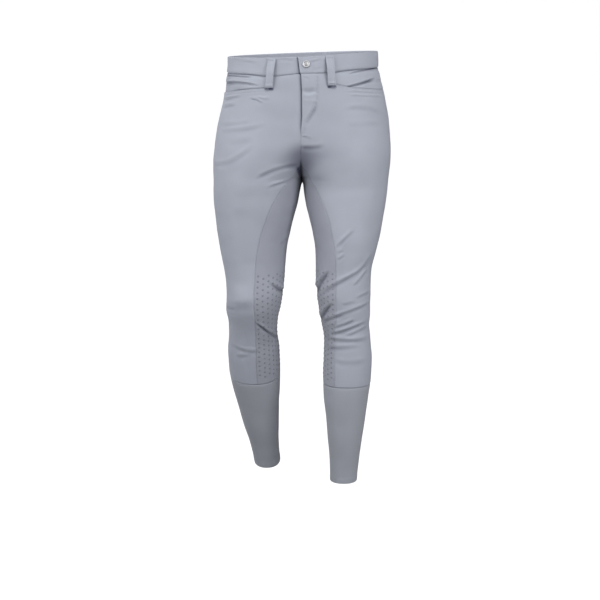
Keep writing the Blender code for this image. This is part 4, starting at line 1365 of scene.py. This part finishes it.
def weave_group():
    """Fine diagonal weave: threads to the metre along the piece's own map, as a height."""
    group, start, end = new_group(
        "fine weave",
        [("Threads", "NodeSocketFloat", 1500.0), ("Slant", "NodeSocketFloat", 0.5)],
        [("Height", "NodeSocketFloat")],
    )
    nodes, links = group.nodes, group.links
    uv = nodes.new("ShaderNodeUVMap")
    uv.uv_map = "cloth"
    split = nodes.new("ShaderNodeSeparateXYZ")
    links.new(uv.outputs[0], split.inputs[0])
    u, v = split.outputs[0], split.outputs[1]
    slant = math_node(nodes, links, "MULTIPLY", v, start.outputs["Slant"])
    leaning = math_node(nodes, links, "ADD", u, slant)
    waves = []
    for value, factor in ((leaning, 1.0), (v, 1.4)):
        count = math_node(nodes, links, "MULTIPLY", start.outputs["Threads"], 2 * math.pi * factor)
        turn = math_node(nodes, links, "MULTIPLY", value, count)
        waves.append(math_node(nodes, links, "SINE", turn, None))
    links.new(math_node(nodes, links, "MULTIPLY", *waves), end.inputs["Height"])
    return group


def mottle_group():
    """Soft cloudy variation over the object's own coordinates, from 0 to 1."""
    group, start, end = new_group(
        "soft mottle",
        [("Clouds", "NodeSocketFloat", 20.0), ("Detail", "NodeSocketFloat", 3.0)],
        [("Cloud", "NodeSocketFloat")],
    )
    nodes, links = group.nodes, group.links
    place = nodes.new("ShaderNodeTexCoord")
    noise = nodes.new("ShaderNodeTexNoise")
    links.new(place.outputs["Object"], noise.inputs["Vector"])
    links.new(start.outputs["Clouds"], noise.inputs["Scale"])
    links.new(start.outputs["Detail"], noise.inputs["Detail"])
    links.new(noise.outputs["Fac"], end.inputs["Cloud"])
    return group


def shared_group(name, build):
    return bpy.data.node_groups.get(name) or build()


def drifting_material(name, colour, spread, clouds, finish):
    """A material whose tone drifts a little. With it come its shader, cloud mask and tint."""
    material = bpy.data.materials.new(name)
    material.use_nodes = True
    nodes, links = material.node_tree.nodes, material.node_tree.links
    shader = nodes["Principled BSDF"]
    for socket, value in finish.items():
        shader.inputs[socket].default_value = value
    mottle = nodes.new("ShaderNodeGroup")
    mottle.node_tree = shared_group("soft mottle", mottle_group)
    mottle.inputs["Clouds"].default_value = clouds
    tint = nodes.new("ShaderNodeMix")
    tint.data_type = "RGBA"
    tint.inputs["A"].default_value = (*[c * (1 - spread) for c in colour], 1)
    tint.inputs["B"].default_value = (*[min(c * (1 + spread), 1) for c in colour], 1)
    links.new(mottle.outputs["Cloud"], tint.inputs["Factor"])
    return material, shader, mottle.outputs["Cloud"], tint.outputs["Result"]


def add_relief(material, shader, height, strength):
    """A fine relief that the shader's normal follows."""
    fine = material.node_tree.nodes.new("ShaderNodeBump")
    fine.inputs["Strength"].default_value = strength
    fine.inputs["Distance"].default_value = 0.1 * MM
    material.node_tree.links.new(height, fine.inputs["Height"])
    material.node_tree.links.new(fine.outputs["Normal"], shader.inputs["Normal"])


def cloth_material(name, colour, roughness, sheen, threads, bump):
    """Cloth whose colour drifts a little, is darkened by painted shade in its hollows and shadow
    lines, and whose weave catches light.
    """
    finish = {"Roughness": roughness, "Sheen Weight": sheen, "Sheen Roughness": 0.5}
    material, shader, _, tint = drifting_material(name, colour, 0.05, 14.0, finish)
    nodes, links = material.node_tree.nodes, material.node_tree.links
    # Painted shade: the colour is multiplied towards a dark tone by the per-point painted shade
    # attribute.
    depth = nodes.new("ShaderNodeAttribute")
    depth.attribute_name = "hollow_and_painted_shade"
    shade = nodes.new("ShaderNodeMix")
    shade.data_type = "RGBA"
    shade.blend_type = "MULTIPLY"
    shade.inputs["B"].default_value = PAINTED_SHADE_TONE
    links.new(depth.outputs["Fac"], shade.inputs["Factor"])
    links.new(tint, shade.inputs["A"])
    links.new(shade.outputs["Result"], shader.inputs["Base Color"])
    weave = nodes.new("ShaderNodeGroup")
    weave.node_tree = shared_group("fine weave", weave_group)
    weave.inputs["Threads"].default_value = threads
    add_relief(material, shader, weave.outputs["Height"], bump)
    return material


def plain_material(name, colour, roughness, metallic, clouds, spread, bump):
    """Thread, grip dots and metal: a slight drift of tone and a fine uneven surface."""
    finish = {"Roughness": roughness, "Metallic": metallic}
    material, shader, cloud, tint = drifting_material(name, colour, spread, clouds, finish)
    material.node_tree.links.new(tint, shader.inputs["Base Color"])
    add_relief(material, shader, cloud, bump)
    return material


def colour_property(name, description, default):
    return bpy.props.FloatVectorProperty(
        name=name, description=description, subtype="COLOR", size=3, min=0, max=1, default=default
    )


def length_property(name, description, default):
    return bpy.props.FloatProperty(
        name=name, description=description, subtype="DISTANCE", unit="LENGTH",
        min=0, default=default, precision=4,
    )


class BreechesSizes(bpy.types.PropertyGroup):
    """Sizes of the small trim."""

    dot_width: length_property("Dot width", "Width of a grip dot", 4.6 * MM)
    dot_height: length_property("Dot height", "Height of a grip dot above the cloth", 0.55 * MM)
    dot_spacing: length_property("Dot spacing", "Distance between grip dots in a column", 10.4 * MM)
    threads: bpy.props.FloatProperty(
        name="Threads", description="Threads to the metre in the main cloth", min=200, default=1500
    )


class BreechesColours(bpy.types.PropertyGroup):
    """Colours of the cloths, trim and stage."""

    cloth: colour_property("Cloth", "Main stretch cloth", (0.366, 0.390, 0.456))
    grip: colour_property("Grip cloth", "Inner leg panels", (0.330, 0.346, 0.402))
    cuff: colour_property("Cuff", "Knit of the calf cuffs", (0.340, 0.357, 0.405))
    thread: colour_property("Thread", "Sewing thread", (0.360, 0.384, 0.446))
    dots: colour_property("Grip dots", "Raised grip dots", (0.225, 0.236, 0.272))
    metal: colour_property("Button", "Metal of the waist button", (0.58, 0.58, 0.60))
    floor: colour_property("Floor", "Floor and backdrop", (0.96, 0.96, 0.97))


def main_cloth(context):
    colours, sizes = context.scene.breeches_colours, context.scene.breeches_sizes
    return bpy.data.materials.get("grey stretch cloth") or cloth_material(
        "grey stretch cloth", colours.cloth, 0.72, 0.12, sizes.threads, 0.25
    )


def thread_material(context):
    return bpy.data.materials.get("grey thread") or plain_material(
        "grey thread", context.scene.breeches_colours.thread, 0.55, 0.0, 900.0, 0.12, 0.3
    )


class BREECHES_OT_waistband(bpy.types.Operator):
    """Make both halves of the waistband"""

    bl_idname = "breeches.waistband"
    bl_label = "Waistband"

    def execute(self, context):
        for hand, side in SIDES.items():
            make_band(hand, side, main_cloth(context))
        return {"FINISHED"}


class BREECHES_OT_panels(bpy.types.Operator):
    """Make the front and back panels"""

    bl_idname = "breeches.panels"
    bl_label = "Front and back panels"

    def execute(self, context):
        for hand, side in SIDES.items():
            make_front(hand, side, main_cloth(context))
            make_back(hand, side, main_cloth(context))
        return {"FINISHED"}


class BREECHES_OT_inner_legs(bpy.types.Operator):
    """Make the inner leg panels"""

    bl_idname = "breeches.inner_legs"
    bl_label = "Inner leg panels"

    def execute(self, context):
        colour = context.scene.breeches_colours.grip
        grip = cloth_material("grey grip cloth", colour, 0.85, 0.08, 1100, 0.35)
        for hand, side in SIDES.items():
            make_inner_leg(hand, side, grip)
        return {"FINISHED"}


class BREECHES_OT_pockets(bpy.types.Operator):
    """Make the pocket facings"""

    bl_idname = "breeches.pockets"
    bl_label = "Pocket facings"

    def execute(self, context):
        for hand, side in SIDES.items():
            make_facing(hand, side, main_cloth(context))
        return {"FINISHED"}


class BREECHES_OT_cuffs(bpy.types.Operator):
    """Make the calf cuffs"""

    bl_idname = "breeches.cuffs"
    bl_label = "Calf cuffs"

    def execute(self, context):
        colour = context.scene.breeches_colours.cuff
        knit = cloth_material("grey calf knit", colour, 0.8, 0.1, 700, 0.4)
        for hand, side in SIDES.items():
            make_cuff(hand, side, knit)
        return {"FINISHED"}


class BREECHES_OT_belt_loops(bpy.types.Operator):
    """Make the belt loops"""

    bl_idname = "breeches.belt_loops"
    bl_label = "Belt loops"

    def execute(self, context):
        for place in loop_places():
            make_loop(*place, main_cloth(context))
        return {"FINISHED"}


class BREECHES_OT_stitching(bpy.types.Operator):
    """Sew every visible line of stitching"""

    bl_idname = "breeches.stitching"
    bl_label = "Stitching"

    def execute(self, context):
        thread = thread_material(context)
        for name, sew, slot in (
            ("front", sew_front, "stretch_cloth"),
            ("inner_leg", sew_inner_legs, "grip_cloth"),
            ("back", sew_back, "stretch_cloth"),
            ("waistband", sew_band, "stretch_cloth"),
            ("belt_loop", sew_loops, "stretch_cloth"),
            ("calf_cuff", sew_cuffs, "cuff_knit"),
        ):
            repeated(f"{name}_stitching", np.concatenate(list(sew())), thread, slot, 6, 4)
        return {"FINISHED"}


class BREECHES_OT_grip_dots(bpy.types.Operator):
    """Print the grip dots on the inner leg panels"""

    bl_idname = "breeches.grip_dots"
    bl_label = "Grip dots"

    def execute(self, context):
        colour, sizes = context.scene.breeches_colours.dots, context.scene.breeches_sizes
        rubber = plain_material("grip dots", colour, 0.5, 0.0, 300.0, 0.1, 0.1)
        for hand, side in SIDES.items():
            places = np.concatenate(list(grip_dot_places(hand, side, sizes)))
            repeated(f"grip_dots_{hand}", places, rubber, "grip_cloth", 12, 6)
        return {"FINISHED"}


class BREECHES_OT_button(bpy.types.Operator):
    """Make the waist button"""

    bl_idname = "breeches.button"
    bl_label = "Waist button"

    def execute(self, context):
        colour = context.scene.breeches_colours.metal
        make_button(plain_material("button metal", colour, 0.55, 1.0, 800.0, 0.05, 0.05))
        return {"FINISHED"}


class BREECHES_OT_stage(bpy.types.Operator):
    """Make the floor and backdrop, the lights and the camera"""

    bl_idname = "breeches.stage"
    bl_label = "Stage"

    def execute(self, context):
        make_floor(context.scene.breeches_colours.floor)
        make_lights(context)
        make_camera(context)
        return {"FINISHED"}


def floor_material(colour):
    """Pale floor paper, evenly lit as the camera sees it, which throws little light at the cloth."""
    material = bpy.data.materials.new("pale floor")
    material.use_nodes = True
    nodes, links = material.node_tree.nodes, material.node_tree.links
    shader = nodes["Principled BSDF"]
    shader.inputs["Base Color"].default_value = (*[c * FLOOR_BOUNCE for c in colour], 1)
    shader.inputs["Roughness"].default_value = 0.95
    shader.inputs["Specular IOR Level"].default_value = 0.0
    shader.inputs["Emission Color"].default_value = (*colour, 1)
    path = nodes.new("ShaderNodeLightPath")
    links.new(path.outputs["Is Camera Ray"], shader.inputs["Emission Strength"])
    return material


def make_floor(colour):
    """A round floor whose edge sweeps up into a backdrop on every side."""
    profile = [(0, FLOOR_LEVEL), (FLOOR_RADIUS, FLOOR_LEVEL)]
    for angle in np.linspace(0.1, math.pi / 2, 12):
        out, up = SWEEP_RADIUS * math.sin(angle), SWEEP_RADIUS * (1 - math.cos(angle))
        profile.append((FLOOR_RADIUS + out, FLOOR_LEVEL + up))
    mesh = smooth_mesh("stage_floor", spun(profile, 72))
    floor = bpy.data.objects.new("stage_floor", mesh)
    mesh.materials.append(floor_material(colour))
    bpy.context.scene.collection.objects.link(floor)


def hang_light(context, name, data, place, aim):
    lamp = bpy.data.objects.new(name, data)
    lamp.location = place
    lamp.rotation_euler = (Vector(aim) - Vector(place)).to_track_quat("-Z", "Y").to_euler()
    lamp.visible_camera = False
    context.scene.collection.objects.link(lamp)


def make_lights(context):
    """Soft lamps round the front, weak wide lights from behind and from the right, pale air."""
    for name, watts, place in LAMPS:
        data = bpy.data.lights.new(name, "AREA")
        data.energy, data.size = watts, LAMP_SIZE
        hang_light(context, name, data, place, LIGHT_AIM)
    for name, strength, spread, place in SUNS:
        data = bpy.data.lights.new(name, "SUN")
        data.energy, data.angle = strength, math.radians(spread)
        hang_light(context, name, data, place, (0, 0, 0))
    world = bpy.data.worlds.new("pale air")
    world.use_nodes = True
    world.node_tree.nodes["Background"].inputs["Color"].default_value = (0.96, 0.98, 1.0, 1)
    world.node_tree.nodes["Background"].inputs["Strength"].default_value = AIR_STRENGTH
    context.scene.world = world
    context.scene.view_settings.view_transform = "Standard"


def make_camera(context):
    data = bpy.data.cameras.new("camera")
    data.lens = CAMERA_LENS
    camera = bpy.data.objects.new("camera", data)
    camera.location = CAMERA_PLACE
    camera.rotation_euler = [math.radians(angle) for angle in CAMERA_TURN]
    context.scene.collection.objects.link(camera)
    context.scene.camera = camera


OPERATORS = (
    BREECHES_OT_stage,
    BREECHES_OT_waistband,
    BREECHES_OT_panels,
    BREECHES_OT_inner_legs,
    BREECHES_OT_pockets,
    BREECHES_OT_cuffs,
    BREECHES_OT_belt_loops,
    BREECHES_OT_button,
    BREECHES_OT_stitching,
    BREECHES_OT_grip_dots,
)


class BREECHES_PT_panel(bpy.types.Panel):
    """Lists the breeches' pieces in the sidebar."""

    bl_label = "Riding breeches"
    bl_space_type = "VIEW_3D"
    bl_region_type = "UI"
    bl_category = "Breeches"

    def draw(self, context):
        for group in (context.scene.breeches_sizes, context.scene.breeches_colours):
            for name in group.__annotations__:
                self.layout.prop(group, name)
        for operator in OPERATORS:
            self.layout.operator(operator.bl_idname)


CLASSES = (BreechesSizes, BreechesColours, *OPERATORS, BREECHES_PT_panel)


def register():
    for item in CLASSES:
        bpy.utils.register_class(item)
    bpy.types.Scene.breeches_sizes = bpy.props.PointerProperty(type=BreechesSizes)
    bpy.types.Scene.breeches_colours = bpy.props.PointerProperty(type=BreechesColours)


def unregister():
    del bpy.types.Scene.breeches_colours
    del bpy.types.Scene.breeches_sizes
    for item in reversed(CLASSES):
        bpy.utils.unregister_class(item)


def main():
    register()
    for operator in OPERATORS:
        getattr(bpy.ops.breeches, operator.bl_idname.split(".")[1])()


if __name__ == "__main__":
    main()
